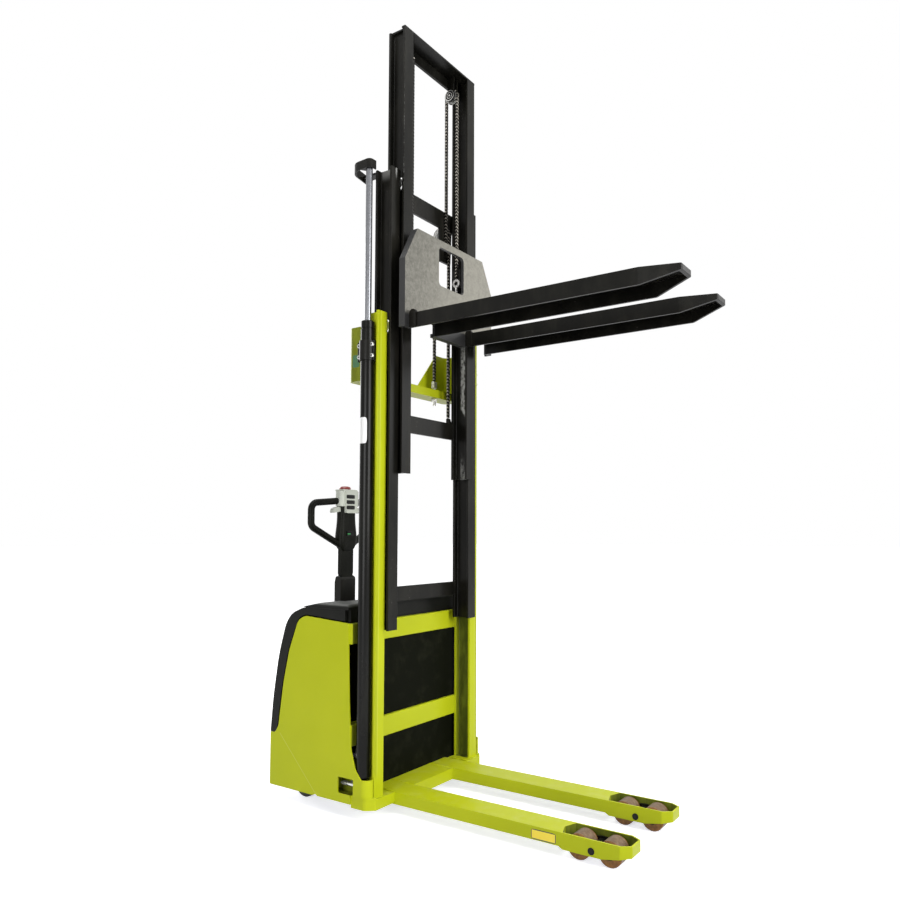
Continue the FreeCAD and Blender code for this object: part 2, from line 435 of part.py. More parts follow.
# Chassis: crossbars behind the mast, black guards between them, base, legs with tandem roller pockets, side panels.
GUARD_X0, GUARD_X1, GUARD_Y = OUTER["rear"] - 20.0, OUTER["rear"] - 14.0, OUTER["web_in"]
fronts = (OUTER["rear"], OUTER["rear"], GUARD_X0 - SEAT)
save("chassis_crossbars", [prism_y(rect(BAR_X0, x1, z0, z1, 4), -PANEL_IN, PANEL_IN) for (z0, z1), x1 in zip(BARS, fronts)])
spans = ((BARS[1][1], BARS[0][0]), (LEG_Z1, BARS[1][0]))
save("mast_guard_panels", [box(GUARD_X0, GUARD_X1, -GUARD_Y, GUARD_Y, z0, z1) for z0, z1 in spans])
BASE_X1 = 24.0
foot = prism_z([(-91, LEG_OUT), (16, LEG_OUT), (16, PANEL_IN - 30, 6), (-20, PANEL_IN, 30), (-91, PANEL_IN)], 48, 96)
foot = foot.cut(box(OUTER["rear"] - 5, BASE_X1, LEG_OUT - 1, OUTER["web"] + LIP + 1, LEG_Z1, 97))
save("base_frame", [box(BAR_X0, BASE_X1, -LEG_IN, LEG_IN, LEG_Z0, LEG_Z1)] + pair(foot))


def leg():
    """Left leg: box section with an open pocket for two rollers, stepped below and cut back at the tip."""
    plan = [(BAR_X0, LEG_IN), (LEG_X1 - TIP_CUT, LEG_IN, 12), (LEG_X1, LEG_IN + TIP_SIDE, 5), (LEG_X1, LEG_OUT - TIP_SIDE, 5),
            (LEG_X1 - TIP_CUT, LEG_OUT, 12), (BAR_X0, LEG_OUT)]
    step = POCKET_X0 - 15.0
    side_view = [(BAR_X0, LEG_Z0), (step, LEG_Z0), (step + 14, LEG_Z0 - 9), (BOGIE_X + 35, LEG_Z0 - 9, 60),
                 (LEG_X1 - 32, LEG_Z0 + 5, 20), (LEG_X1, LEG_Z0 + 10, 3), (LEG_X1, LEG_Z1, 2), (BAR_X0, LEG_Z1)]
    body = prism_z(plan, 0, LEG_Z1).common(prism_y(side_view, LEG_IN - 5, LEG_OUT + 5))
    y0, y1 = LEG_IN + LEG_WALL, LEG_OUT - LEG_WALL
    tip = LEG_X1 - LEG_WALL
    pocket = [(POCKET_X0, y0), (LEG_X1 - TIP_CUT - 1, y0, 12), (tip, y0 + TIP_SIDE - 2, 4), (tip, y1 - TIP_SIDE + 2, 4),
              (LEG_X1 - TIP_CUT - 1, y1, 12), (POCKET_X0, y1), (POCKET_X0 - 20, LEG_Y)]
    body = body.cut(prism_z(pocket, -5, LEG_Z1 + 5))
    body = body.cut(box(BASE_X1, POCKET_X0 - 28, y0, y1, LEG_Z0 + LEG_WALL, LEG_Z1 - LEG_WALL))
    return body.cut(rod((BOGIE_X, LEG_IN - 20, BOGIE_Z), (BOGIE_X, LEG_OUT + 20, BOGIE_Z), LOAD_PIN))


save("support_legs", pair(leg()))

panel_shape = [(X_REAR, 61, 6), (-301, 61), (-297, 66), (-283, 66), (-279, 61), (-91, 61), (-91, 96), (-35, 96), (-35, 165),
               (-66, 200, 60), (-91, 280, 200), (-103, 484, 2000), (-111, 779, 12), (-361, 796, 60), (-405, 777, 60),
               (-458, 642, 300), (-491, 501, 600), (-519, 310, 60), (-540, 285), (X_REAR, 285, 6)]
panel = prism_y(panel_shape, PANEL_IN, PANEL_Y)
panel = panel.cut(prism_y(rect(-160, -76, 96, 161, 5), PANEL_IN - 5, PANEL_Y + 5))
BEND_R = 35.0
centre = V(-BEND_R, PANEL_Y - BEND_R, 96)
corner = Part.makeCylinder(BEND_R, 69, centre).cut(Part.makeCylinder(BEND_R - PANEL_T, 69, centre))
corner = corner.common(box(-BEND_R, 0, PANEL_Y - BEND_R, PANEL_Y, 96, 165))
save("side_panels", pair(fuse([panel, corner])))

# Covers: plastic trims along the panels' rear edge, a moulded rear cover with the turret, and a top cover with a tray.
REAR_LINE = [(X_REAR, 285), (-554, 431, 1400), (-522, 624, 800), (-479, 760, 140), (-443, 803, 90), (HOOD_X0, TRIM_Z1, 120)]
TRIM_Y = PANEL_Y - 14.0
trim_shape = REAR_LINE + [(HOOD_X1 - 18, TRIM_Z1), (HOOD_X1 - 18, 786), (-361, 802, 60), (-405, 784, 60), (-464, 642, 300),
                          (-497, 501, 600), (-525, 310, 60), (-546, 285)]
trim = prism_y(trim_shape, TRIM_Y, PANEL_Y).cut(panel)
save("corner_trims", pair(trim))
cover_y = TRIM_Y - SEAT


def rear_body(inset, reach):
    """Everything under the rear line moved in by an inset, as far forward as reach."""
    line = [(x + inset, z - inset / 3, *r) for x, z, *r in REAR_LINE[:-1]]
    bottom = REAR_LINE[0][1] - inset
    return prism_y(line + [(reach, TRIM_Z1 - inset), (reach, bottom)], -cover_y - inset / 10, cover_y + inset / 10)


def about_drive(r, z0, z1):
    return rod((DRIVE_X, 0, z0), (DRIVE_X, 0, z1), r)


full = rear_body(0, HOOD_X0)
turret = turned([(TURRET_R - 27, 430), (TURRET_R, 700, 60), (TURRET_R, TURRET_Z, 4), (COLUMN_R + 6, TURRET_Z),
                 (COLUMN_R + 6, TURRET_Z - COVER_T), (TURRET_R - COVER_T, TURRET_Z - COVER_T), (TURRET_R - COVER_T, 700, 60),
                 (TURRET_R - 27 - COVER_T, 430)], (DRIVE_X, 0, 0), (0, 0, 1))
inside_turret = turned([(0, 425), (TURRET_R - 30, 425), (TURRET_R - COVER_T / 2, 700), (TURRET_R - COVER_T / 2, TURRET_Z - 3),
                        (0, TURRET_Z - 3)], (DRIVE_X, 0, 0), (0, 0, 1))
well = about_drive(TURRET_R + 7, TURRET_Z - COVER_T, TRIM_Z1).cut(about_drive(TURRET_R - 2, 700, TRIM_Z1 + 5)).common(full)
cup = turret.common(about_drive(TURRET_R + 9, TURRET_Z - 60, TURRET_Z))
sheet = full.cut(rear_body(COVER_T, HOOD_X0 + 5)).cut(inside_turret)
cover = fuse([sheet, turret.cut(rear_body(0, DRIVE_X + TURRET_R + 5)), cup, well])
cover = cover.cut(about_drive(TURRET_R + 1, TURRET_Z, TRIM_Z1 + 5)).cut(about_drive(COLUMN_R + 6, 425, TRIM_Z1))
save("rear_cover", [cover])

crown = prism_x([(-PANEL_Y, TRIM_Z1 + SEAT), (PANEL_Y, TRIM_Z1 + SEAT), (PANEL_Y, HOOD_Z1 - 8, 8), (PANEL_Y - 22, HOOD_Z1, 20),
                 (22 - PANEL_Y, HOOD_Z1, 20), (-PANEL_Y, HOOD_Z1 - 8, 8)], HOOD_X0, HOOD_X1)
crown = crown.common(prism_y([(HOOD_X0, TRIM_Z1), (HOOD_X1, TRIM_Z1), (HOOD_X1, HOOD_Z1 - 2, 15), (HOOD_X0 + 105, HOOD_Z1, 200),
                              (HOOD_X0, TRIM_Z1 + 3, 1)], -PANEL_Y, PANEL_Y))
skirt = box(HOOD_X1 - 16, HOOD_X1, -cover_y, cover_y, HOOD_Z0, TRIM_Z1 + 4)
crown = fuse([crown, skirt])
crown = crown.cut(prism_y([(HOOD_X0 + 20, TRIM_Z1 - 1), (HOOD_X1 - HOOD_T, TRIM_Z1 - 1), (HOOD_X1 - HOOD_T, HOOD_Z1 - 20),
                           (HOOD_X0 + 40, HOOD_Z1 - 20)], 20 - cover_y, cover_y - 20))
tray = prism_z(rect(HOOD_X0 + 50, HOOD_X1 - 40, -300, 300, 18), HOOD_Z1 - 12, HOOD_Z1 + 5)
save("top_cover", [crown.cut(tray)])

hole = rod((DRIVE_X, 0, DECK_Z0 - 20), (DRIVE_X, 0, DECK_Z1 + 20), COLUMN_R + 12)
deck = box(-500, -330, -cover_y, cover_y, DECK_Z0, DECK_Z1).cut(hole)
pads = pair(prism_z([(CASTOR_X - 60, CASTOR_Y - 60, 10), (CASTOR_X + 60, CASTOR_Y - 60, 10), (CASTOR_X + 60, PANEL_IN),
                     (CASTOR_X - 60, PANEL_IN)], CASTOR_PLATE_Z, CASTOR_PLATE_Z + 8))
BRACKET_Y, VALVE_Z = PANEL_IN - 55.0, 128.0
bracket = prism_x([(BRACKET_Y, 84, 6), (PANEL_IN - SEAT, 84), (PANEL_IN - SEAT, 89), (BRACKET_Y + 5, 89), (BRACKET_Y + 5, 170),
                   (BRACKET_Y, 170)], -190, OUTER["rear"] - SEAT)
save("chassis_deck_plates", pads + [deck] + pair(bracket))
valve_y = BRACKET_Y + 25.0
valve = turned([(0, 0), (5, 0), (5, 8), (8, 9), (8, 34), (5.5, 35), (5.5, 40), (8.5, 41), (8.5, 74), (4, 75), (4, 82), (0, 82)],
               (-172, valve_y, VALVE_Z), (1, 0, 0))
mount = box(-128, -104, BRACKET_Y + 5, valve_y - 6, VALVE_Z - 12, VALVE_Z + 10)
save("lowering_valves", pair(fuse([valve, mount])))
save("battery", [box(BAR_X0 - 175, BAR_X0, -340, 340, 240, 690)])

# Load rollers: two on a rocker in each leg, the rocker on a pin through the leg.
rockers = []
for s in (-1, 1):
    yc = s * LEG_Y
    inside_y = LEG_WIDE / 2 - LEG_WALL - ROCKER_GAP
    parts = [box(BOGIE_X - 10, BOGIE_X + 10, yc - inside_y, yc + inside_y, BOGIE_Z - 12, BOGIE_Z + 12)]
    for t in (-1, 1):
        y0, y1 = sorted((yc + t * (inside_y - ROCKER_T), yc + t * inside_y))
        parts.append(prism_y([(LOAD_X[0] - 16, LOAD_R - 15, 12), (LOAD_X[1] + 16, LOAD_R - 15, 12), (LOAD_X[1] + 16, LOAD_R + 15, 12),
                              (BOGIE_X, BOGIE_Z + 20, 30), (LOAD_X[0] - 16, LOAD_R + 15, 12)], y0, y1))
        pin_end = yc + t * (LEG_WIDE / 2 + 2.0)
        parts.append(rod((BOGIE_X, yc, BOGIE_Z), (BOGIE_X, pin_end, BOGIE_Z), LOAD_PIN))
        parts.append(rod((BOGIE_X, yc + t * LEG_WIDE / 2, BOGIE_Z), (BOGIE_X, pin_end, BOGIE_Z), BOGIE_HEAD))
    for x in LOAD_X:
        parts.append(rod((x, yc - inside_y, LOAD_R), (x, yc + inside_y, LOAD_R), LOAD_PIN))
    rockers.append(fuse(parts))
save("roller_rockers", rockers)
h, EDGE = LOAD_W / 2, 4.0
for side_name, s in (("right", -1), ("left", 1)):
    for end, x in (("rear", LOAD_X[0]), ("front", LOAD_X[1])):
        roller = turned([(LOAD_PIN + RUN, -h), (LOAD_R - EDGE, -h), (LOAD_R, EDGE - h), (LOAD_R, h - EDGE), (LOAD_R - EDGE, h),
                         (LOAD_PIN + RUN, h)], (x, s * LEG_Y, LOAD_R), (0, 1, 0))
        save("load_roller_%s_%s" % (side_name, end), [roller])

# Drive unit: motor over a gearbox arm beside the drive wheel, steering column and turntable, all turning as one.
save("drive_motor", [turned([(0, 300), (56, 300), (62, 306), (62, 594), (56, 600), (0, 600)], (DRIVE_X, 0, 0), (0, 0, 1))])
column = turned([(0, 600), (80, 600), (80, DECK_Z0 - SEAT), (COLUMN_R, DECK_Z0 - SEAT), (COLUMN_R, DECK_Z1 + SEAT),
                 (70, DECK_Z1 + SEAT), (70, DECK_Z1 + 8), (COLUMN_R, DECK_Z1 + 8), (COLUMN_R, DISC_Z0), (0, DISC_Z0)],
                (DRIVE_X, 0, 0), (0, 0, 1))
save("steering_column", [column])
gap = DRIVE_W / 2 + 8
arm_side = prism_y([(DRIVE_X - 52, DRIVE_R - 50, 50), (DRIVE_X + 52, DRIVE_R - 50, 50), (DRIVE_X + 60, 260), (DRIVE_X - 60, 260)],
                   gap, gap + 38)
crown_box = prism_z(rect(DRIVE_X - 60, DRIVE_X + 60, -gap - 20, gap + 38, 14), DRIVE_R * 2 + 24, 300)
save("drive_yoke", [fuse([crown_box, arm_side, rod((DRIVE_X, -DRIVE_W / 2, DRIVE_R), (DRIVE_X, gap + 5, DRIVE_R), DRIVE_AXLE)])])
w = DRIVE_W / 2
save("drive_wheel", [turned([(DRIVE_AXLE + RUN, -w + 4), (60, -w + 4), (66, -w), (DRIVE_R - EDGE, -w), (DRIVE_R, EDGE - w),
                             (DRIVE_R, w - EDGE), (DRIVE_R - EDGE, w), (66, w), (60, w - 4), (DRIVE_AXLE + RUN, w - 4)],
                            (DRIVE_X, 0, DRIVE_R), (0, 1, 0))])

# Castors: pressed fork under a bolted plate, the wheel trailing behind the swivel.
for side_name, s in (("right", -1), ("left", 1)):
    y, xw, half = s * CASTOR_Y, CASTOR_X - CASTOR_TRAIL, CASTOR_W / 2 + 6
    parts = [prism_z(rect(CASTOR_X - 42, CASTOR_X + 36, y - half - 5, y + half + 5, 12), 138, 146),
             rod((CASTOR_X, y, 146), (CASTOR_X, y, CASTOR_PLATE_Z - SEAT), 25),
             rod((xw, y - half, CASTOR_R), (xw, y + half, CASTOR_R), CASTOR_AXLE)]
    for y0, y1 in ((y - half - 5, y - half), (y + half, y + half + 5)):
        parts.append(prism_y([(xw - 15, CASTOR_R - 15, 14), (xw + 15, CASTOR_R - 15, 14), (CASTOR_X + 32, 138),
                              (CASTOR_X - 38, 138)], y0, y1))
    save("castor_fork_%s" % side_name, [fuse(parts)])
    w = CASTOR_W / 2
    save("castor_wheel_%s" % side_name, [turned([(CASTOR_AXLE + RUN, -w), (CASTOR_R - EDGE, -w), (CASTOR_R, EDGE - w),
                                                 (CASTOR_R, w - EDGE), (CASTOR_R - EDGE, w), (CASTOR_AXLE + RUN, w)],
                                                (xw, y, CASTOR_R), (0, 1, 0))])

# Tiller: boot on the turntable, column on its pivot, moulded head with a grey cap, two hand loops.
disc = rod((DRIVE_X, 0, DISC_Z0), (DRIVE_X, 0, DISC_Z1), TURRET_R - 8)
boot_side = [(TILLER_X - 22, DISC_Z1), (TILLER_X + 18, DISC_Z1), (TILLER_X + 18, BOOT_Z1 - 12, 14), (TILLER_X + 6, BOOT_Z1, 8),
             (TILLER_X - 14, BOOT_Z1, 8), (TILLER_X - 22, BOOT_Z1 - 30, 20)]
boot = prism_y(boot_side, -BOOT_HALF, BOOT_HALF)
boot = boot.common(prism_x([(-BOOT_HALF, DISC_Z1), (BOOT_HALF, DISC_Z1), (BOOT_HALF, BOOT_Z1, 10), (-BOOT_HALF, BOOT_Z1, 10)],
                           TILLER_X - 60, TILLER_X + 60))
cavity = box(TILLER_X - 60, TILLER_X + 18 - BOOT_T, BOOT_T - BOOT_HALF, BOOT_HALF - BOOT_T, DISC_Z1 + 20, BOOT_Z1 + 5)
boot = boot.cut(cavity)
pivot = rod((TILLER_X, BOOT_T - BOOT_HALF, PIVOT_Z), (TILLER_X, BOOT_HALF - BOOT_T, PIVOT_Z), PIVOT_R)
save("tiller_bracket", [fuse([disc, boot, pivot])])
neck = prism_y([(TILLER_X - 11, PIVOT_Z - 11, 10.9), (TILLER_X + 11, PIVOT_Z - 11, 10.9), (TILLER_X + 11, BOOT_Z1 + 12),
                (TILLER_X - 11, BOOT_Z1 + 12)], 6.5 - BOOT_HALF + BOOT_T, BOOT_HALF - BOOT_T - 6.5)
shaft = prism_z(rect(TILLER_X - 11, TILLER_X + 11, -44, 44, 5), BOOT_Z1 + 8, HEAD_Z0 + 20)
tiller = fuse([neck, shaft]).cut(rod((TILLER_X, -BOOT_HALF, PIVOT_Z), (TILLER_X, BOOT_HALF, PIVOT_Z), PIVOT_R + RUN))


def head_section(z, a, b, r):
    return rounded(rect(TILLER_X - a, TILLER_X + a, -b, b, r), lambda x, y: V(x, y, z))


# height, half depth, half width and corner radius of the moulded head
HEAD = ((HEAD_Z0, 9, 28, 8), (HEAD_Z0 + 16, 20, 47, 16), (1108, 27, 58, 22), (1145, 27, 57, 22), (1215, 24, 50, 20),
        (1300, 26, 51, 18), (HEAD_Z1, 25, 47, 16))
head_body = Part.makeLoft([head_section(*row) for row in HEAD], True, False)
tiller = tiller.cut(head_body)
save("tiller_arm", [tiller.Solids[0]])
slab = prism_x([(-35, 1243, 6), (35, 1243, 6), (42, CAP_Z1 - 8, 8), (-42, CAP_Z1 - 8, 8)], TILLER_X + 18, TILLER_X + 35)
for z in (1262, 1287, 1312):
    slab = slab.cut(prism_x(rect(-20, 20, z, z + 15, 3), TILLER_X + 31, TILLER_X + 40))
crown_top = prism_z(rect(TILLER_X - 40, TILLER_X + 35, -46, 46, 16), HEAD_Z1, CAP_Z1 - 8)
ears = prism_z(rect(TILLER_X - 20, TILLER_X + 31, -62, 62, 18), 1275, 1348)
cap = fuse([slab, crown_top, ears]).cut(head_body)
save("tiller_head_cap", [max(cap.Solids, key=lambda s: s.Volume)])
button = turned([(0, CAP_Z1 - 8 + SEAT), (26, CAP_Z1 - 8 + SEAT), (29, CAP_Z1 - 2), (24, CAP_Z1 + 6), (14, CAP_Z1 + 9), (0, CAP_Z1 + 10)],
                (TILLER_X - 10, 0, 0), (0, 0, 1))
save("emergency_button", [button])


def loop_path():
    """Hand loop of the left side: out, down and back to the head, its corners rounded."""
    corners = [V(TILLER_X, 30, 1303), V(TILLER_X - 22, 206, 1287), V(TILLER_X - 22, 206, 1178), V(TILLER_X, 30, 1085)]
    start, edges = corners[0], []
    for i in (1, 2):
        p = corners[i]
        u, w = (corners[i - 1] - p).normalize(), (corners[i + 1] - p).normalize()
        half = u.getAngle(w) / 2
        inward = (u + w).normalize()
        a, b = p + u * (34 / math.tan(half)), p + w * (34 / math.tan(half))
        edges += [Part.makeLine(start, a), Part.Arc(a, p + inward * (34 / math.sin(half) - 34), b).toShape()]
        start = b
    edges.append(Part.makeLine(start, corners[3]))
    return Part.Wire(edges), corners[0], (corners[1] - corners[0]).normalize()


wire, begin, along = loop_path()
ring = Part.Wire(Part.makeCircle(LOOP_R, begin, along))
loop = wire.makePipeShell([ring], True, True).cut(head_body).cut(NODES["tiller_head_cap"][0])
save("tiller_loops", pair(max(loop.Solids, key=lambda s: s.Volume)))
save("tiller_head", [head_body])
wing = prism_x([(47, 1250, 2), (96, 1242, 5), (92, 1262, 8), (66, 1272, 8), (47, 1270, 2)], TILLER_X - 14, TILLER_X + 10)
save("thumb_levers", pair(max(wing.cut(head_body).Solids, key=lambda s: s.Volume)))

for name, solids in NODES.items():
    moved = [solid.translated(V(-ORIGIN_X, 0, 0)) for solid in solids]
    whole = moved[0] if len(moved) == 1 else Part.makeCompound(moved)
    whole.exportStep("parts/%s.step" % name)
print(len(NODES), "nodes")
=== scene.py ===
"""Looks of a walk-behind electric stacker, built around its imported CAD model."""

import math

import bmesh
import bpy
import numpy as np
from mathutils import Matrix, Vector


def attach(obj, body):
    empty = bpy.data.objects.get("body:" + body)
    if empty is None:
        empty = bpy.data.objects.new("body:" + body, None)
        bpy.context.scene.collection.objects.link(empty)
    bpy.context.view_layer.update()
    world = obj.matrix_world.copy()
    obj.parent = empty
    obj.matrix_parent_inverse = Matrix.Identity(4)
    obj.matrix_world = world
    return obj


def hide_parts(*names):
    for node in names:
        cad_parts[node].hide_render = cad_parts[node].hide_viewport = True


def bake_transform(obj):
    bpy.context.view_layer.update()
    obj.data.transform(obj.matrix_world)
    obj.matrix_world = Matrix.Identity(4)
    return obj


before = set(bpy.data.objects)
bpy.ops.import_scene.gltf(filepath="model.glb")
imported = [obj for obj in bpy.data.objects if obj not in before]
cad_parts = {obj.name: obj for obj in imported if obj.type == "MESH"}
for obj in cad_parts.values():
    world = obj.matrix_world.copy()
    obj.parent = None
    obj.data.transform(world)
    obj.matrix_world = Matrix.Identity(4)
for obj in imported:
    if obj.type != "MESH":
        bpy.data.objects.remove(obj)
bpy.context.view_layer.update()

# Camera: fitted to the photograph, low and to the right of the forks, with a slightly raised view.
# The focal length and the shifts of the picture's middle are fitted in pixels of a picture 900 wide.
picture_wide, sensor_wide = 900, 36.0
focal, right_shift, up_shift = 764.81, -42.73, 32.83
eye = Vector((1.76867, -2.70782, 1.15054))
yaw, pitch = math.radians(123.37), math.radians(3.7)
forward = Vector((math.cos(yaw) * math.cos(pitch), math.sin(yaw) * math.cos(pitch), math.sin(pitch)))
lens = bpy.data.cameras.new("camera")
lens.sensor_width = sensor_wide
lens.lens = focal / picture_wide * sensor_wide
lens.shift_x = right_shift / picture_wide
lens.shift_y = up_shift / picture_wide
lens.clip_end = 200.0
camera = bpy.data.objects.new("camera", lens)
camera.location = eye
camera.rotation_mode = "QUATERNION"
camera.rotation_quaternion = forward.to_track_quat("-Z", "Y")
bpy.context.collection.objects.link(camera)
bpy.context.scene.camera = camera

# Studio: a broad lamp overhead, a strong soft key ahead of the forks, and weaker lamps beside and behind.
# The surround is pure white to the camera and in mirrors, and a dim grey to every other ray.
world = bpy.data.worlds.new("studio")
bpy.context.scene.world = world
world.use_nodes = True
sky = world.node_tree
sky.nodes.clear()
sky_ray = sky.nodes.new("ShaderNodeLightPath").outputs


def larger(first, second):
    """The larger of two sockets' values."""
    node = sky.nodes.new("ShaderNodeMath")
    node.operation = "MAXIMUM"
    sky.links.new(first, node.inputs[0])
    sky.links.new(second, node.inputs[1])
    return node.outputs[0]


def surround(colour):
    """A background of one plain colour."""
    node = sky.nodes.new("ShaderNodeBackground")
    node.inputs["Color"].default_value = (*colour, 1.0)
    return node.outputs[0]


mirror_ray = larger(sky_ray["Is Glossy Ray"], sky_ray["Is Transmission Ray"])
sky_mix = sky.nodes.new("ShaderNodeMixShader")
sky.links.new(larger(sky_ray["Is Camera Ray"], mirror_ray), sky_mix.inputs[0])
sky.links.new(surround((0.125, 0.127, 0.130)), sky_mix.inputs[1])
sky.links.new(surround((1.0, 1.0, 1.0)), sky_mix.inputs[2])
sky_out = sky.nodes.new("ShaderNodeOutputWorld")
sky.links.new(sky_mix.outputs[0], sky_out.inputs["Surface"])
aim = Vector((0.0, 0.0, 1.2))
for name, spot, size, power in (("overhead", (0.2, -0.6, 6.0), 5.0, 290),
                                ("key", (5.0, -0.6, 2.6), 3.0, 260),
                                ("side", (0.9, -5.6, 1.7), 2.6, 150),
                                ("fill", (3.6, 3.4, 3.0), 2.4, 45),
                                ("back", (-5.0, 0.8, 2.8), 2.6, 90)):
    lamp = bpy.data.lights.new(name, "AREA")
    lamp.size = size
    lamp.energy = power
    lamp_at = bpy.data.objects.new(name, lamp)
    lamp_at.location = spot
    lamp_at.rotation_mode = "QUATERNION"
    lamp_at.rotation_quaternion = (aim - Vector(spot)).to_track_quat("-Z", "Y")
    bpy.context.collection.objects.link(lamp_at)
bpy.context.scene.view_settings.view_transform = "Standard"

# Floor: seamless matt white paper, laid out flat under the wheels, that takes soft contact shadows.
# It glows only for the camera and in mirrors, more with the distance, so that it ends in pure white.
# Num and Paint, which every later material uses too, turn its patterns into nodes.


class Num:
    """A node socket that adds, multiplies and compares like a number."""

    def __init__(self, tree, socket):
        """Keeps the socket and the tree it is in."""
        self.tree = tree
        self.socket = socket

    def math(self, operation, *others, flip=False):
        """One Math node on this value and the others, in this order, or from last to first with flip."""
        node = self.tree.nodes.new("ShaderNodeMath")
        node.operation = operation
        values = [self, *others]
        if flip:
            values.reverse()
        for place, value in zip(node.inputs, values):
            if isinstance(value, Num):
                self.tree.links.new(value.socket, place)
            else:
                place.default_value = value
        return Num(self.tree, node.outputs[0])

    def __add__(self, other):
        return self.math("ADD", other)

    def __mul__(self, other):
        return self.math("MULTIPLY", other)

    def __sub__(self, other):
        return self.math("SUBTRACT", other)

    def __rsub__(self, other):
        return self.math("SUBTRACT", other, flip=True)

    def __truediv__(self, other):
        return self.math("DIVIDE", other)

    __radd__ = __add__
    __rmul__ = __mul__

    def ramp(self, low, high):
        """0 below low, 1 above high, smooth between."""
        node = self.tree.nodes.new("ShaderNodeMapRange")
        node.interpolation_type = "SMOOTHSTEP"
        self.tree.links.new(self.socket, node.inputs["Value"])
        node.inputs["From Min"].default_value = low
        node.inputs["From Max"].default_value = high
        return Num(self.tree, node.outputs[0])

    def near(self, centre, width):
        """1 at the centre value, falling to 0 at width away."""
        return 1.0 - (self - centre).math("ABSOLUTE").ramp(0.0, width)

    def between(self, rise, fall):
        """1 in a band: a ramp over the pair of values rise, times 1 less a ramp over the pair fall."""
        return self.ramp(*rise) * (1.0 - self.ramp(*fall))


class Paint:
    """A material: patterns in object space feed one principled surface."""

    def __init__(self, name, rough=0.5, metal=0.0, coat=0.0, coat_rough=0.2, specular=0.5):
        """Makes the material with plain values for the whole surface."""
        self.material = bpy.data.materials.new(name)
        self.material.use_nodes = True
        self.tree = self.material.node_tree
        self.tree.nodes.clear()
        output = self.tree.nodes.new("ShaderNodeOutputMaterial")
        self.surface = self.tree.nodes.new("ShaderNodeBsdfPrincipled")
        self.tree.links.new(self.surface.outputs[0], output.inputs["Surface"])
        for socket, value in (("Roughness", rough), ("Metallic", metal), ("Coat Weight", coat),
                              ("Coat Roughness", coat_rough), ("Specular IOR Level", specular)):
            self.surface.inputs[socket].default_value = value

    def node(self, kind, inputs=None, out=0, **settings):
        """Adds any node; inputs are Nums or plain values by socket name."""
        made = self.tree.nodes.new(kind)
        for key, value in settings.items():
            setattr(made, key, value)
        for key, value in (inputs or {}).items():
            if isinstance(value, Num):
                self.tree.links.new(value.socket, made.inputs[key])
            else:
                made.inputs[key].default_value = value
        return Num(self.tree, made.outputs[out])

    def place(self, stretch=(1, 1, 1)):
        """Object coordinates in metres, each times its stretch."""
        spot = self.node("ShaderNodeTexCoord", out="Object")
        return self.node("ShaderNodeMapping", {"Vector": spot, "Scale": stretch})

    def axis(self, index):
        """One object coordinate in metres: 0 is X, 1 is Y and 2 is Z."""
        return self.node("ShaderNodeSeparateXYZ", {"Vector": self.place()}, out=index)

    def facing(self, index):
        """The part of a face's unit normal along an axis, from -1 to 1."""
        normal = self.node("ShaderNodeNewGeometry", out="Normal")
        return self.node("ShaderNodeSeparateXYZ", {"Vector": normal}, out=index)

    def away(self, x, z):
        """Distance in metres from the line along Y through x and z: the root of the sum of two squares."""
        side, height = self.axis(0) - x, self.axis(2) - z
        return (side * side + height * height).math("SQRT")

    def noise(self, size, detail=4.0, rough=0.55, stretch=(1, 1, 1)):
        """Cloudy pattern whose blobs are about size metres across."""
        return self.node("ShaderNodeTexNoise", {"Vector": self.place(stretch), "Scale": 1.0 / size,
                                                "Detail": detail, "Roughness": rough})

    def cells(self, scale):
        """Distance to the nearest of strewn points, counted in cells, of which scale go in a metre."""
        return self.node("ShaderNodeTexVoronoi", {"Vector": self.place(), "Scale": scale}, out="Distance")

    def specks(self, size, share):
        """Small scattered round spots: 1 up to half the share of a cell from a point, 0 beyond the share."""
        return 1.0 - self.cells(1.0 / size).ramp(share * 0.5, share)

    def mix(self, factor, first, second):
        """Colour between two colours; each may be a plain RGB or another mix."""
        made = self.tree.nodes.new("ShaderNodeMix")
        made.data_type = "RGBA"
        for place, value in ((made.inputs[0], factor), (made.inputs[6], first), (made.inputs[7], second)):
            if isinstance(value, Num):
                self.tree.links.new(value.socket, place)
            else:
                place.default_value = value if isinstance(value, float) else (*value, 1.0)
        return Num(self.tree, made.outputs[2])

    def finish(self, colour, rough=None, metal=None, height=None, depth=0.0002, strength=0.5):
        """Links colour, roughness and relief, and hands over the material."""
        for socket, value in (("Base Color", colour), ("Roughness", rough), ("Metallic", metal)):
            if value is not None:
                self.tree.links.new(value.socket, self.surface.inputs[socket])
        if height is not None:
            bump = self.node("ShaderNodeBump", {"Height": height, "Distance": depth, "Strength": strength})
            self.tree.links.new(bump.socket, self.surface.inputs["Normal"])
        return self.material

    def on(self, *nodes):
        """Puts the material on CAD nodes."""
        for name in nodes:
            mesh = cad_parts[name].data
            mesh.materials.clear()
            mesh.materials.append(self.material)


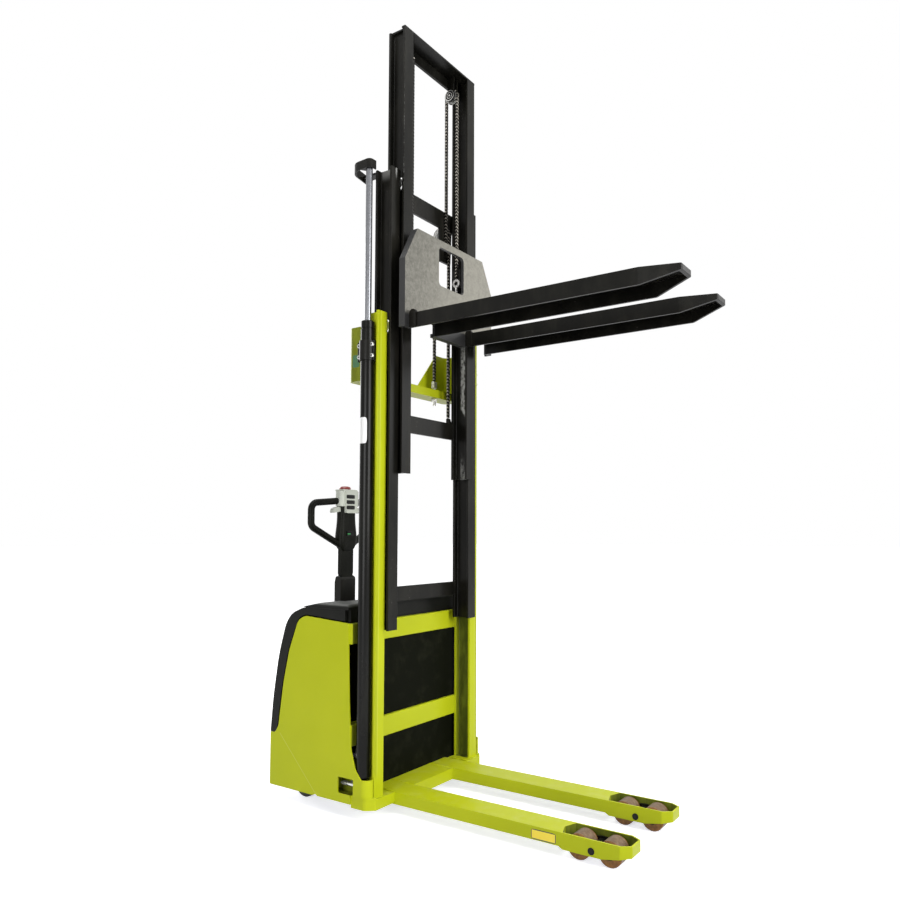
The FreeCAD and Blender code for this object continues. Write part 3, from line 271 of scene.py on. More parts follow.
floor_mesh = bpy.data.meshes.new("floor")
far = 60.0
floor_mesh.from_pydata([(-far, -far, 0), (far, -far, 0), (far, far, 0), (-far, far, 0)], [], [(0, 1, 2, 3)])
floor = bpy.data.objects.new("floor", floor_mesh)
bpy.context.collection.objects.link(floor)
paper = Paint("floor_paper", rough=0.9)
paper.surface.inputs["Emission Strength"].default_value = 1.0
seen = paper.node("ShaderNodeLightPath", out="Is Camera Ray")
for ray in ("Is Glossy Ray", "Is Transmission Ray"):
    seen = seen.math("MAXIMUM", paper.node("ShaderNodeLightPath", out=ray))
reach = paper.node("ShaderNodeVectorMath", {"Vector": paper.place()}, out="Value", operation="LENGTH")
glow_near, glow_far = (0.66, 0.665, 0.70), (1.0, 1.0, 1.0)
glow = paper.mix(seen, (0.0, 0.0, 0.0), paper.mix(reach.ramp(1.2, 5.0), glow_near, glow_far))
paper.tree.links.new(glow.socket, paper.surface.inputs["Emission Color"])
white = paper.mix(paper.noise(0.8), (0.78, 0.78, 0.79), (0.81, 0.81, 0.82))
floor_mesh.materials.append(paper.finish(paper.mix(seen, (0.38, 0.38, 0.385), white)))

# Base, legs, crossbars, side panels and fixed mast: plate and rolled steel, welded and powder coated in lime.
# The satin coat has a faint orange peel and is dustier on top, and a thin painted highlight runs along the
# side panels' crease.
# Painted shade darkens the legs' sides, the outer uprights' front flanges towards their edge and the
# crossbars' ends behind the tubes, and a thin painted highlight line runs down each front flange.
# The channels in which the rollers run and the legs' pockets are dark with painted shade mixed with old
# grease and grime; spots of rust lie in all the darkened places.
lime = Paint("lime_paint", coat=0.06, coat_rough=0.22, specular=0.13)
cloud = lime.noise(0.35, 5.0)
fresh = lime.mix(cloud.ramp(0.35, 0.7), (0.452, 0.500, 0.0090), (0.478, 0.522, 0.012))
level = lime.facing(2).ramp(0.55, 0.95)
dusty = lime.mix(level * lime.noise(0.05, 6.0).ramp(0.45, 0.75) * 0.30, fresh, (0.50, 0.53, 0.14))
x, beside, z = lime.axis(0), lime.axis(1).math("ABSOLUTE"), lime.axis(2)

# Each pair is where a mark begins and where it is full, in metres across the side, along X or in height.
panel_face, panel_fold_top = (0.398, 0.399), (0.282, 0.290)
fold_across, fold_at, fold_half = (0.699, 0.715), -0.3921, 0.0022
channel_across = ((0.300, 0.303), (0.3290, 0.3300))
channel_along = ((-0.4262, -0.4250), (-0.3580, -0.3568))
panel_inside, panel_back = ((0.338, 0.343), (0.3935, 0.3943)), (-0.4368, -0.4362)
leg_y, leg_half = 0.194, 0.058
pocket_half, pocket_back, pocket_top = (0.0530, 0.0537), (0.4250, 0.4260), (0.0885, 0.0897)
nose_turn, nose_back = (0.15, 0.35), (0.640, 0.642)
sole_top, sole_front = (0.0885, 0.0915), (-0.10, 0.30)
lip_front, lip_foot, lip_side, lip_edge = (-0.3470, -0.3460), (0.15, 0.20), (0.3440, 0.3480), 0.3425

# Painted highlight: a thin paler line along the side panels' diagonal crease, only below the crease's top.
fold = (x * fold_across[0] + z * fold_across[1]).near(fold_at, fold_half) * beside.ramp(*panel_face)
dusty_with_painted_light = lime.mix(fold * 0.55 * (1.0 - z.ramp(*panel_fold_top)), dusty, (0.66, 0.70, 0.17))
# Painted shade: faces below the legs' tops that do not face up are darkened, fully from 0.3 m forward.
sole = (1.0 - z.ramp(*sole_top)) * x.ramp(*sole_front) * (1.0 - level) * 0.42
# Painted shade on the outer uprights' front flanges towards their outer edge, and a thin painted highlight
# line along each flange.
lip = x.ramp(*lip_front) * z.ramp(*lip_foot)
shaded = sole.math("MAXIMUM", lip * beside.ramp(*lip_side) * 0.45)
dusty_with_painted_light = lime.mix(shaded, dusty_with_painted_light, (0.290, 0.330, 0.006))
dusty_with_painted_light = lime.mix(lip * beside.near(lip_edge, 0.0014) * 0.5, dusty_with_painted_light, (0.70, 0.74, 0.22))
# Painted shade: the crossbars' ends behind the tubes are darkened as in shadow, the legs' pockets with
# painted shade and grime, and the rollers' channels with painted shade and old grease; spots of rust lie on
# all of them.
channel = beside.between(*channel_across) * x.between(*channel_along)
inside = beside.between(*panel_inside) * (1.0 - x.ramp(*panel_back))
pocket = x.ramp(*pocket_back) * (1.0 - (beside - leg_y).math("ABSOLUTE").ramp(*pocket_half))
pocket = pocket * (1.0 - z.ramp(*pocket_top)) * (1.0 - lime.facing(0).ramp(*nose_turn) * x.ramp(*nose_back))
hidden = (channel * 0.92).math("MAXIMUM", inside * 0.72).math("MAXIMUM", pocket * 0.88)
grease = lime.noise(0.05, 7.0, 0.6, (1, 1, 0.25))
shade_and_grease = lime.mix(grease.ramp(0.38, 0.66), (0.030, 0.042, 0.009), (0.110, 0.135, 0.018))
rust = lime.specks(0.016, 0.16) * lime.noise(0.12, 3.0).ramp(0.50, 0.62)
shade_grease_and_rust = lime.mix(rust, shade_and_grease, (0.10, 0.035, 0.010))
lime.finish(lime.mix(hidden, dusty_with_painted_light, shade_grease_and_rust), rough=0.34 + cloud * 0.14, height=lime.noise(0.0028, 2.0),
            depth=0.0001, strength=0.25)
lime.on("outer_mast_uprights", "outer_mast_crossmember", "chassis_crossbars", "base_frame", "support_legs",
        "side_panels", "chassis_deck_plates")

# Welds of the chassis: fillets of molten wire laid by hand, one ripple at a time, and coated with the frame.
# On each side they hold the leg, the mast's foot, two crossbars and the crossmember.


def skin(name, shape, rows, columns, paint, body, loop=(False, False), spots=((0.0, 0.0, 0.0),)):
    """Mesh of shape(u, v), which gives x, y and z over a grid of u and v from 0 to 1, once at each spot."""
    u = np.linspace(0.0, 1.0, rows, endpoint=not loop[0])[:, None]
    v = np.linspace(0.0, 1.0, columns, endpoint=not loop[1])[None, :]
    sheet = np.stack(np.broadcast_arrays(*shape(u, v)), axis=-1).reshape(-1, 3)
    order = np.arange(rows * columns).reshape(rows, columns)
    if loop[0]:
        order = np.vstack([order, order[:1]])
    if loop[1]:
        order = np.hstack([order, order[:, :1]])
    corners = [order[:-1, :-1], order[1:, :-1], order[1:, 1:], order[:-1, 1:]]
    quads = np.stack(corners, axis=-1).reshape(-1, 4)
    spots = np.asarray(spots, float)
    points = (sheet[None] + spots[:, None]).reshape(-1, 3)
    quads = (quads[None] + len(sheet) * np.arange(len(spots))[:, None, None]).reshape(-1, 4)
    mesh = bpy.data.meshes.new(name)
    mesh.from_pydata(points.tolist(), [], quads.tolist())
    shell = bmesh.new()
    shell.from_mesh(mesh)
    bmesh.ops.remove_doubles(shell, verts=shell.verts, dist=1e-6)
    bmesh.ops.holes_fill(shell, edges=shell.edges, sides=0)
    bmesh.ops.recalc_face_normals(shell, faces=shell.faces)
    shell.to_mesh(mesh)
    shell.free()
    mesh.polygons.foreach_set("use_smooth", np.ones(len(mesh.polygons), bool))
    mesh.update()
    mesh.set_sharp_from_angle(angle=math.radians(40))
    mesh.materials.append(paint)
    piece = bpy.data.objects.new(name, mesh)
    bpy.context.collection.objects.link(piece)
    if body:
        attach(piece, body)
    return piece


def bead(start, end, radius, ripple=0.006):
    """Weld bead from start to end: a round run whose radius swells once a ripple and leans forward."""
    start, end = np.array(start), np.array(end)
    length = np.linalg.norm(end - start)
    along = (end - start) / length
    first = np.cross(along, (0.3, 0.5, 0.81))
    first /= np.linalg.norm(first)
    second = np.cross(along, first)

    def shape(u, v):
        """Circle of the swelling radius about the point at u of the way; both ends taper."""
        phase = u * length / ripple
        lean = phase + 0.12 * np.sin(2 * np.pi * phase)
        taper = np.minimum(1.0, np.minimum(u, 1 - u) * length / radius + 0.1)
        r = radius * (0.86 + 0.14 * np.sin(2 * np.pi * lean)) * taper
        angle = 2 * np.pi * v
        spot = start[:, None, None] + along[:, None, None] * (u * length + 0 * v)[None]
        round_it = first[:, None, None] * np.cos(angle) + second[:, None, None] * np.sin(angle)
        return tuple(spot + round_it * (r + 0 * v)[None])

    return shape, int(length / ripple * 5) + 2


bar_face = -0.4373
seams = []
for s in (-1, 1):
    leg_inside, leg_outside = s * (leg_y - leg_half), s * (leg_y + leg_half + 0.002)
    bar_end, crossmember_end = s * 0.305, s * 0.3400
    seams += [((-0.487, leg_inside, 0.0898), (-0.3215, leg_inside, 0.0898), 0.0022),
              ((bar_face, bar_end, 0.700), (bar_face, bar_end, 0.774), 0.0026),
              ((bar_face, bar_end, 0.291), (bar_face, bar_end, 0.368), 0.0026),
              ((-0.4285, crossmember_end, 1.795), (-0.4285, crossmember_end, 2.018), 0.0030),
              ((-0.430, leg_outside, 0.0935), (-0.330, leg_outside, 0.0935), 0.0026)]
for i, (start, end, radius) in enumerate(seams):
    shape, rows = bead(start, end, radius)
    skin("chassis_weld_%d" % i, shape, rows, 8, lime.material, "chassis", loop=(False, True))

# Leg label: a yellow vinyl film 0.3 mm thick with a black edge, on the outer side of the right leg.
# It is cut with round corners and pressed on the smooth paint.
film_thick, film_turn, print_soft = 0.0003, 0.0004, 0.0004
label_middle, label_half, label_face = (0.3685, 0.0620), (0.0520, 0.0182), -(leg_y + leg_half + film_thick)
edge_along, edge_tall = 0.0037, 0.0034


def printed(middle, half, edge):
    """Pairs for a field that leaves the edge free on both sides and has a soft outline inside it."""
    low, high = middle - half + edge, middle + half - edge
    return (low, low + print_soft), (high - print_soft, high)


film = Paint("yellow_label", coat=0.3, coat_rough=0.15)
yellow = film.mix(film.noise(0.03, 4.0), (0.78, 0.60, 0.020), (0.84, 0.66, 0.035))
within = film.axis(0).between(*printed(label_middle[0], label_half[0], edge_along))
within = within * film.axis(2).between(*printed(label_middle[1], label_half[1], edge_tall))
film.finish(film.mix(within, (0.010, 0.010, 0.010), yellow), rough=0.30 + film.noise(0.02) * 0.15,
            height=film.noise(0.004), depth=0.00006)


def rounded(v, power):
    """Superellipse at turn v: cosine and sine over the root of the sum of both to the power."""
    c, s = np.cos(2 * np.pi * v), np.sin(2 * np.pi * v)
    r = (np.abs(c) ** power + np.abs(s) ** power) ** (-1 / power)
    return r * c, r * s


def film_shape(middle, half, face, rim):
    """Film on a wall: a superellipse of power 8 across X and Z, whose rim turns into the wall."""

    def shape(u, v):
        """Grows evenly to full size at u = rim, and past it only Y changes, by film_turn."""
        across, up = rounded(v, 8)
        size = np.minimum(u / rim, 1.0)
        turned_in = film_turn * np.maximum(u - rim, 0) / (1 - rim)
        return middle[0] + half[0] * size * across, face + turned_in + 0 * v, middle[1] + half[1] * size * up

    return shape


skin("leg_label", film_shape(label_middle, label_half, label_face, 0.9), 8, 96, film.material, "chassis",
     loop=(False, True))

# Lowering valves behind the service windows: turned steel, zinc-plated, each with a cap of red plastic.
# A steel lug holds each to the chassis, and the cap is pushed on the front end.
zinc = Paint("zinc_plated", metal=0.9)
wear = zinc.noise(0.006, 5.0)
cap_front = (-0.4425, -0.4420)
cap_red = zinc.axis(0).ramp(*cap_front)
plated = zinc.mix(wear, (0.55, 0.55, 0.54), (0.78, 0.78, 0.76))
zinc.finish(zinc.mix(cap_red, plated, (0.35, 0.02, 0.015)), rough=0.26 + wear * 0.2,
            metal=0.9 - cap_red * 0.9)
zinc.on("lowering_valves")

# Splash plates behind the valves: steel sheet 2 mm thick in the frame's lime, with its foot bent outwards.
# They stand inside the side panels and close the view through the service windows.
sheet_back, sheet_long = -0.600, 0.066
sheet_top, sheet_tall = 0.180, 0.100
sheet_face, sheet_thick = 0.3375, 0.002
bend_top, bend_tall, foot_out = 0.098, 0.018, 0.030


def splash_shape(side):
    """Sheet whose section goes round its own outline: v runs down the face and back up the other side."""

    def shape(u, v):
        """X grows with u; the height falls and rises again with v; below the bend Y grows with a square."""
        path = np.interp(v, (0.0, 0.10, 0.46, 0.54, 0.90, 1.0), (0.0, 0.0, 1.0, 1.0, 0.0, 0.0))
        back = np.interp(v, (0.0, 0.5, 0.5001, 1.0), (0.0, 0.0, sheet_thick, sheet_thick))
        height = sheet_top - sheet_tall * path
        foot = np.clip((bend_top - height) / bend_tall, 0.0, 1.0) ** 2
        wall = side * (sheet_face - back + foot_out * foot)
        return sheet_back + sheet_long * u, wall + 0 * u, height + 0 * u

    return shape


for side_name, side in (("right", -1), ("left", 1)):
    skin("splash_plate_" + side_name, splash_shape(side), 4, 60, lime.material, "chassis", loop=(False, True))

# Lift cylinder tubes: seamless drawn steel tube in gloss black enamel, wiped by hands.
# They stand on the base beside the mast and are clamped to it near their tops.
enamel = Paint("gloss_enamel", coat=0.02, coat_rough=0.10, specular=0.12)
wipe = enamel.noise(0.10, 5.0, 0.6, (1, 1, 0.2))
gloss = enamel.mix(wipe.ramp(0.4, 0.7), (0.003, 0.003, 0.0024), (0.008, 0.008, 0.006))
enamel.finish(gloss, rough=0.19 + wipe * 0.10, height=enamel.noise(0.012, 3.0), depth=0.00012)
enamel.on("lift_cylinder_tubes")

# Plate on the right tube: white plastic film with round corners, glued below the clamp.
# It wraps a quarter of the way round the tube's outer side.
cylinder_x, cylinder_y = -0.3985, 0.3663
plate_reach, plate_turn, plate_arc = 0.0289, np.radians(-88.0), np.radians(42.0)
plate_middle, plate_half, plate_rim = 1.569, 0.054, 0.92
sign = Paint("white_label", coat=0.2)
pearl = sign.mix(sign.noise(0.02, 4.0), (0.74, 0.74, 0.73), (0.82, 0.82, 0.81))
sign.finish(pearl, rough=0.35 + sign.noise(0.01) * 0.15)


def sign_shape(u, v):
    """Superellipse of power 6 laid round the tube: its width is an arc, and its rim turns in by 0.5 mm."""
    across, up = rounded(v, 6)
    size = np.minimum(u / plate_rim, 1.0)
    turn = plate_turn + size * across * plate_arc
    tube = plate_reach - 0.0005 * np.maximum(u - plate_rim, 0) / (1 - plate_rim)
    height = plate_middle + plate_half * size * up
    return cylinder_x + tube * np.cos(turn), -cylinder_y + tube * np.sin(turn), height


skin("tube_plate", sign_shape, 26, 120, sign.material, "chassis", loop=(False, True))

# Film on the crossmember's right cheek: thin green vinyl with round corners.
# It is pressed upright on the flat lime paint.
cheek_middle, cheek_half, cheek_face = (-0.4845, 1.877), (0.020, 0.027), -0.3438
leaf = Paint("green_label", coat=0.2)
leaf_green = leaf.mix(leaf.noise(0.01, 4.0), (0.020, 0.090, 0.030), (0.050, 0.170, 0.060))
leaf.finish(leaf_green, rough=0.4 + leaf.noise(0.01) * 0.1)
skin("cheek_plate", film_shape(cheek_middle, cheek_half, cheek_face, 0.92), 8, 80, leaf.material, "chassis",
     loop=(False, True))

# Screws of the cylinder clamps: zinc-plated socket-head cap screws, turned and with a pressed hexagon socket.
# Four on each side go through the clamps' ears. A row of the profile is radius, height and hexagon share.
screw_rows = np.array([(7.8, 8.0, 0.0), (7.8, 14.8, 0.0), (7.3, 15.7, 0.0), (6.2, 15.9, 0.0),
                       (4.6, 15.7, 1.0), (4.4, 12.0, 1.0), (0.2, 11.6, 1.0)]) / (1000.0, 1000.0, 1.0)
ear_sides, ear_heights = (-0.037, 0.035), (1.880, 1.927)


def screw_head(side):
    """Turned profile that u runs along; where the share is 1, the radius follows a hexagon."""
    steps = np.linspace(0.0, 1.0, len(screw_rows))

    def shape(u, v):
        """Radius times 1, or by its share times the cosine of 30 degrees over that of the turn off a flat."""
        radius, height, share = (np.interp(u, steps, column) for column in screw_rows.T)
        angle = 2 * np.pi * v
        flat = np.cos(np.pi / 6) / np.cos(np.mod(angle, np.pi / 3) - np.pi / 6)
        r = radius * (1 - share + share * flat)
        return r * np.cos(angle), side * (cylinder_y + height) + 0 * v, side * r * np.sin(angle)

    return shape


screw_steel = Paint("screw_steel", metal=0.9)
screw_zinc = screw_steel.mix(screw_steel.noise(0.004), (0.58, 0.58, 0.56), (0.80, 0.80, 0.78))
screw_steel.finish(screw_zinc, rough=0.28 + screw_steel.noise(0.006) * 0.15)
screw_spots = [(cylinder_x + ear, 0.0, height) for ear in ear_sides for height in ear_heights]
for side_name, side in (("right", -1), ("left", 1)):
    skin("clamp_screws_" + side_name, screw_head(side), len(screw_rows), 36, screw_steel.material, "chassis",
         loop=(False, True), spots=screw_spots)

# Lift rods: ground steel rods, hard chromed, that slide out of the tubes.
# Faint turned rings and an oil film break up their shine.
chrome = Paint("chrome_rod", metal=1.0)
rings = chrome.noise(0.03, 3.0, 0.5, (0.2, 0.2, 8.0))
chrome.finish(chrome.mix(rings, (0.165, 0.169, 0.182), (0.225, 0.229, 0.240)), rough=0.24 + rings * 0.12)
chrome.on("lift_cylinder_rods")

# Black steelwork: moving mast sections, bars, yokes, clamps, straps, forks and carriage arms.
# Hot rolled steel in satin black paint, rubbed bright on the flange edges and along the rollers' tracks.
black = Paint("black_paint", coat=0.02, coat_rough=0.15, specular=0.12)
smear = black.noise(0.09, 6.0, 0.6, (1, 1, 0.35))
deep = black.mix(smear.ramp(0.4, 0.75), (0.0048, 0.0046, 0.0036), (0.0125, 0.0118, 0.0090))
bx, by, bz = black.axis(0), black.axis(1).math("ABSOLUTE"), black.axis(2)

# Each pair is where a rubbed mark begins and where it is full; slope is a height that leans back with X.
edge_y, edge_front, edge_foot, edge_top = 0.2630, (-0.2975, -0.2965), (2.60, 2.66), (2.85, 3.25)
track_y, track_along = 0.2295, ((-0.3500, -0.3480), (-0.3135, -0.3115))
track_upper, track_lower = ((1.205, 1.222), (1.75, 1.85)), (0.92, 1.02)
crest_y, crest_foot, crest_back = 0.2835, (2.650, 2.700), (-0.4050, -0.3900)

edges = by.near(edge_y, 0.0008) * bx.ramp(*edge_front) * bz.ramp(*edge_foot) * (1.15 - bz.ramp(*edge_top))
slope = bz + bx * 1.5
track = by.near(track_y, 0.0014) * bx.between(*track_along)
track = track * (slope.between(*track_upper) + (1.0 - slope.ramp(*track_lower)) * 0.5)
crest = by.near(crest_y, 0.0060).ramp(0.0, 0.3) * bz.ramp(*crest_foot) * bx.ramp(*crest_back)
flake = black.noise(0.006, 8.0, 0.8, (1, 1, 0.45)).ramp(0.47, 0.62)
scrape = black.noise(0.010, 7.0, 0.75, (1, 1, 0.35)).ramp(0.38, 0.58)
rub = (edges * flake).math("MAXIMUM", track * scrape).math("MAXIMUM", crest * 0.6)
grit = black.specks(0.021, 0.10) * smear.ramp(0.52, 0.62) * 0.5
specked = black.mix(grit, deep, (0.16, 0.155, 0.14))
black.finish(black.mix(rub, specked, (0.42, 0.42, 0.40)), rough=0.22 + smear * 0.20,
             height=black.noise(0.006, 4.0), depth=0.00018, strength=0.35)
black.on("middle_mast_uprights", "middle_mast_crossbars", "middle_chain_yokes", "inner_mast_uprights",
         "inner_mast_crossbars", "inner_pulley_hangers", "carriage_roller_arms", "forks",
         "rod_head_straps", "cylinder_clamps", "roller_rockers", "castor_fork_right", "castor_fork_left",
         "drive_yoke", "steering_column", "tiller_bracket")

# Guards, battery and motor: pressed and cast parts in dull black, bolted to the frame.
# Dust lies on them in clouds.
dull = Paint("dull_black", rough=0.62, specular=0.03)
sooty = dull.mix(dull.noise(0.06, 6.0).ramp(0.45, 0.7), (0.0036, 0.0042, 0.0020), (0.0085, 0.0092, 0.0050))
dull.finish(sooty, height=dull.noise(0.003, 3.0), depth=0.0002)
dull.on("battery", "drive_motor", "mast_guard_panels")

# Skirts of the lower guard: strips of black rubber 5 mm thick, cut from flat stock.
# They are clamped behind the guard's lower corners and close the gap over the feet.
skirt_x, skirt_y, skirt_z = -0.4545, 0.2890, 0.0800
skirt_thick, skirt_wide, skirt_tall = 0.0050, 0.0780, 0.0360


def skirt_shape(u, v):
    """Upright strip: a superellipse section of power 6 across X and Z, drawn straight along Y."""
    across, up = rounded(v, 6)
    return skirt_x + skirt_thick / 2 * across, skirt_wide * (u - 0.5), skirt_z + skirt_tall / 2 * up


skin("guard_skirts", skirt_shape, 12, 40, dull.material, "chassis", loop=(False, True),
     spots=[(0.0, -skirt_y, 0.0), (0.0, skirt_y, 0.0)])

# Welds of the moving stages: fillets of molten wire, laid by hand and painted black with the stage.
# They join the crossbars' ends to the flange edges.
middle_x, middle_y, inner_x, inner_y = -0.4125, 0.2555, -0.3875, 0.2060
stage_seams = []
for s in (-1, 1):
    stage_seams += [("mast_middle", (middle_x, s * middle_y, 0.858), (middle_x, s * middle_y, 0.914)),
                    ("mast_middle", (middle_x, s * middle_y, 2.606), (middle_x, s * middle_y, 2.684)),
                    ("mast_inner", (inner_x, s * inner_y, 1.590), (inner_x, s * inner_y, 1.661))]
for i, (stage, start, end) in enumerate(stage_seams):
    shape, rows = bead(start, end, 0.0024)
    skin("stage_weld_%d" % i, shape, rows, 8, black.material, stage, loop=(False, True))

# Leaf chains: stamped plates riveted on pins, oiled, so that each row shines and the gaps are black.
# The plates of a row lean over the next, which shows as slanting bright bars up the chain.
# A strand hangs between two stages; it takes the place of its CAD node.
link = Paint("chain_steel", metal=0.85)
link_row = 0.015875
bar_edge, oil_edge = (0.10, 0.28), (0.36, 0.62)
plate_oily, plate_bright = (0.14, 0.13, 0.11), (0.48, 0.45, 0.39)
slant = (link.axis(2) + link.axis(1) * 0.55 - link.axis(0) * 0.35) / link_row
bar = 1.0 - (slant.math("FRACT") - 0.5).math("ABSOLUTE").ramp(*bar_edge)
oil = link.noise(0.012, 5.0)
bright = link.mix(oil.ramp(*oil_edge), plate_oily, plate_bright)
# Painted shade: the strands on the near side, at negative Y, are painted nearly black.
near_side_shaded = link.mix(link.axis(1).ramp(-0.02, 0.02), (0.036, 0.034, 0.029), bright)
link.finish(link.mix(bar, (0.008, 0.007, 0.006), near_side_shaded), rough=0.20 + oil * 0.22,
            height=bar, depth=0.0022, strength=0.9)
link.on("outer_chain_strands", "middle_lift_strands", "inner_lift_strands", "carriage_lift_strands")
chain_thick, chain_wide = 0.0110, 0.0160
rear_x, rear_y, rear_z, rear_reach = -0.4340, 0.187, 2.5810, 0.042
front_x, front_y, front_z, front_reach = -0.3615, 0.168, 3.2500, 0.032


def strand_shape(x, low, high):
    """Straight chain from low to high: a superellipse section of power 8 across X and Y."""

    def shape(u, v):
        """Height grows with u; the depth swells at each pin with |cos| of the height, and both ends close."""
        height = low + (high - low) * u
        pins = np.abs(np.cos(np.pi * (height - low) / link_row))
        close = np.minimum(1.0, np.minimum(u, 1 - u) * (high - low) / 0.002)
        across, along = rounded(v, 8)
        depth = chain_thick / 2 * (0.72 + 0.28 * pins)
        return x + depth * close * across, chain_wide / 2 * close * along, height + 0 * v

    return shape


for node, x_at, y_at, low, high, above, below in (
        ("outer_chain_strands", rear_x - rear_reach, rear_y, 1.8763, rear_z, "mast_middle", "chassis"),
        ("inner_lift_strands", rear_x + rear_reach, rear_y, 1.6903, rear_z, "mast_middle", "mast_inner"),
        ("middle_lift_strands", front_x - front_reach, front_y, 2.4803, front_z, "mast_inner", "mast_middle"),
        ("carriage_lift_strands", front_x + front_reach, front_y, 2.3453, front_z, "mast_inner", "carriage")):
    rows = int((high - low) / link_row * 5)
    hung = skin("hung_" + node, strand_shape(x_at, low, high), rows, 16, link.material, None,
                loop=(False, True), spots=[(0.0, -y_at, 0.0), (0.0, y_at, 0.0)])
    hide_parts(node)
    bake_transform(hung)

# Chain on the pulleys: the same stamped and riveted plates, laid over the groove.
# Their rows stand round the pulley's centre.
for chain_name, node, cx, cz, radius in (("rear", "middle_chain_wraps", rear_x, rear_z, rear_reach),
                                         ("front", "inner_chain_wraps", front_x, front_z, front_reach)):
    bend = Paint("chain_bend_" + chain_name, metal=0.85)
    turn = (bend.axis(2) - cz).math("ARCTAN2", bend.axis(0) - cx)
    plate_row = ((turn * (radius / link_row)).math("FRACT") - 0.5).math("ABSOLUTE")
    shine = 1.0 - plate_row.ramp(*bar_edge)
    film_oil = bend.noise(0.012, 5.0)
    bent_plates = bend.mix(film_oil.ramp(*oil_edge), plate_oily, plate_bright)
    bend.finish(bend.mix(shine, (0.010, 0.009, 0.008), bent_plates), rough=0.20 + film_oil * 0.22,
                height=shine, depth=0.0022, strength=0.9)
    bend.on(node)

# Chain anchors: threaded rods with hexagon nuts and a ring eye, zinc-plated, with oil in the threads.
# They go through the shelf of the fixed crossmember and hold the outer chains' ends.
thread = Paint("anchor_steel", metal=0.9)
thread_pitch = 0.002
groove = (thread.axis(2) / thread_pitch).math("FRACT").near(0.5, 0.5)
dirty = thread.noise(0.008, 5.0)
thread.finish(thread.mix(dirty.ramp(0.4, 0.7), (0.82, 0.81, 0.78), (0.34, 0.33, 0.30)),
              rough=0.26 + dirty * 0.2, height=groove, depth=0.0005, strength=0.6)
thread.on("outer_chain_anchors")

# Chain eyes of the carriage: the same bright rods, nuts and rings.
# They are screwed through a steel beam that is painted black.
ring = Paint("eye_steel", metal=0.9)
beam_z, beam_half = 2.215, 0.0102
beam = ring.axis(2).near(beam_z, beam_half).ramp(0.0, 0.05)
shade = ring.mix(ring.noise(0.008, 5.0).ramp(0.4, 0.7), (0.60, 0.59, 0.57), (0.22, 0.21, 0.20))
ring.finish(ring.mix(beam, shade, (0.006, 0.006, 0.005)), rough=0.26 + ring.noise(0.01) * 0.2,
            metal=0.9 - beam * 0.9)
ring.on("carriage_chain_eyes")

# Guide rollers: turned and hardened steel rings on stub axles.
# The track has polished them.
turned = Paint("turned_steel", metal=1.0)
fine = turned.noise(0.004, 3.0)
turned.finish(turned.mix(fine, (0.42, 0.42, 0.42), (0.62, 0.62, 0.61)), rough=0.28 + fine * 0.15)
turned.on("outer_guide_rollers", "middle_guide_rollers", "inner_guide_rollers")

# Small pulleys: turned steel on an axle at the top of the inner mast.
# A bright bearing race and a dark seal stand round the axle.
race = Paint("pulley_steel", metal=0.9)
race_at, seal_at, seal_out = 0.0150, 0.0205, 0.0215
out = race.away(front_x, front_z)
race_tone = race.mix(out.near(race_at, 0.0030), (0.10, 0.10, 0.10), (0.80, 0.80, 0.79))
race_steel = race.mix(race.noise(0.006), (0.34, 0.34, 0.33), (0.60, 0.60, 0.58))
race.finish(race.mix(out.ramp(seal_at, seal_out), race_tone, race_steel), rough=0.25 + race.noise(0.01) * 0.2,
            height=out.near(seal_at, 0.0012), depth=0.0006)
race.on("inner_chain_pulleys")

# Large pulleys: white cast nylon, slightly yellow, with grease in the groove.
# They turn on steel bearings that are pressed into the hub.
nylon = Paint("white_nylon", rough=0.45)
hub_edge = (0.0175, 0.0185)
spill = nylon.noise(0.02, 5.0)
hub = 1.0 - nylon.away(rear_x, rear_z).ramp(*hub_edge)
nylon_tone = nylon.mix(spill.ramp(0.5, 0.75), (0.80, 0.79, 0.76), (0.45, 0.43, 0.38))
nylon.finish(nylon.mix(hub, nylon_tone, (0.20, 0.20, 0.20)), rough=0.4 + spill * 0.2)
nylon.on("middle_chain_pulleys")

# Bearing caps on the pulleys' axles: turned discs, of steel on the small pulleys and of nylon on the large.
# The riveted end of the axle holds each. A row of the profile is radius and height.
cap_rows = {"front": ((0.0002, 0.0042), (0.0050, 0.0040), (0.0056, 0.0024), (0.0118, 0.0022),
                      (0.0124, 0.0034), (0.0152, 0.0034), (0.0158, 0.0016), (0.0212, 0.0016),
                      (0.0218, 0.0030), (0.0268, 0.0030), (0.0284, 0.0010), (0.0284, 0.0)),
            "rear": ((0.0002, 0.0050), (0.0098, 0.0048), (0.0104, 0.0016), (0.0150, 0.0016),
                     (0.0158, 0.0034), (0.0262, 0.0034), (0.0280, 0.0014), (0.0280, 0.0))}
front_cheek_y, rear_cheek_y = 0.1494, 0.1704


def cap_shape(rows, side):
    """Turned profile about an axle along Y, whose height points away from the cheek."""
    knots = np.linspace(0.0, 1.0, len(rows))
    radii, heights = np.array(rows).T

    def shape(u, v):
        """Radius and height are read off the rows at u, and v is the turn round the axle."""
        r, h = np.interp(u, knots, radii), np.interp(u, knots, heights)
        return r * np.cos(2 * np.pi * v), side * h + 0 * v, -side * r * np.sin(2 * np.pi * v)

    return shape


cap_steel = Paint("cap_steel", metal=0.85)
from_axle = cap_steel.away(front_x, front_z)
inner_ring, outer_ring = from_axle.near(0.0138, 0.0022), from_axle.near(0.0243, 0.0030)
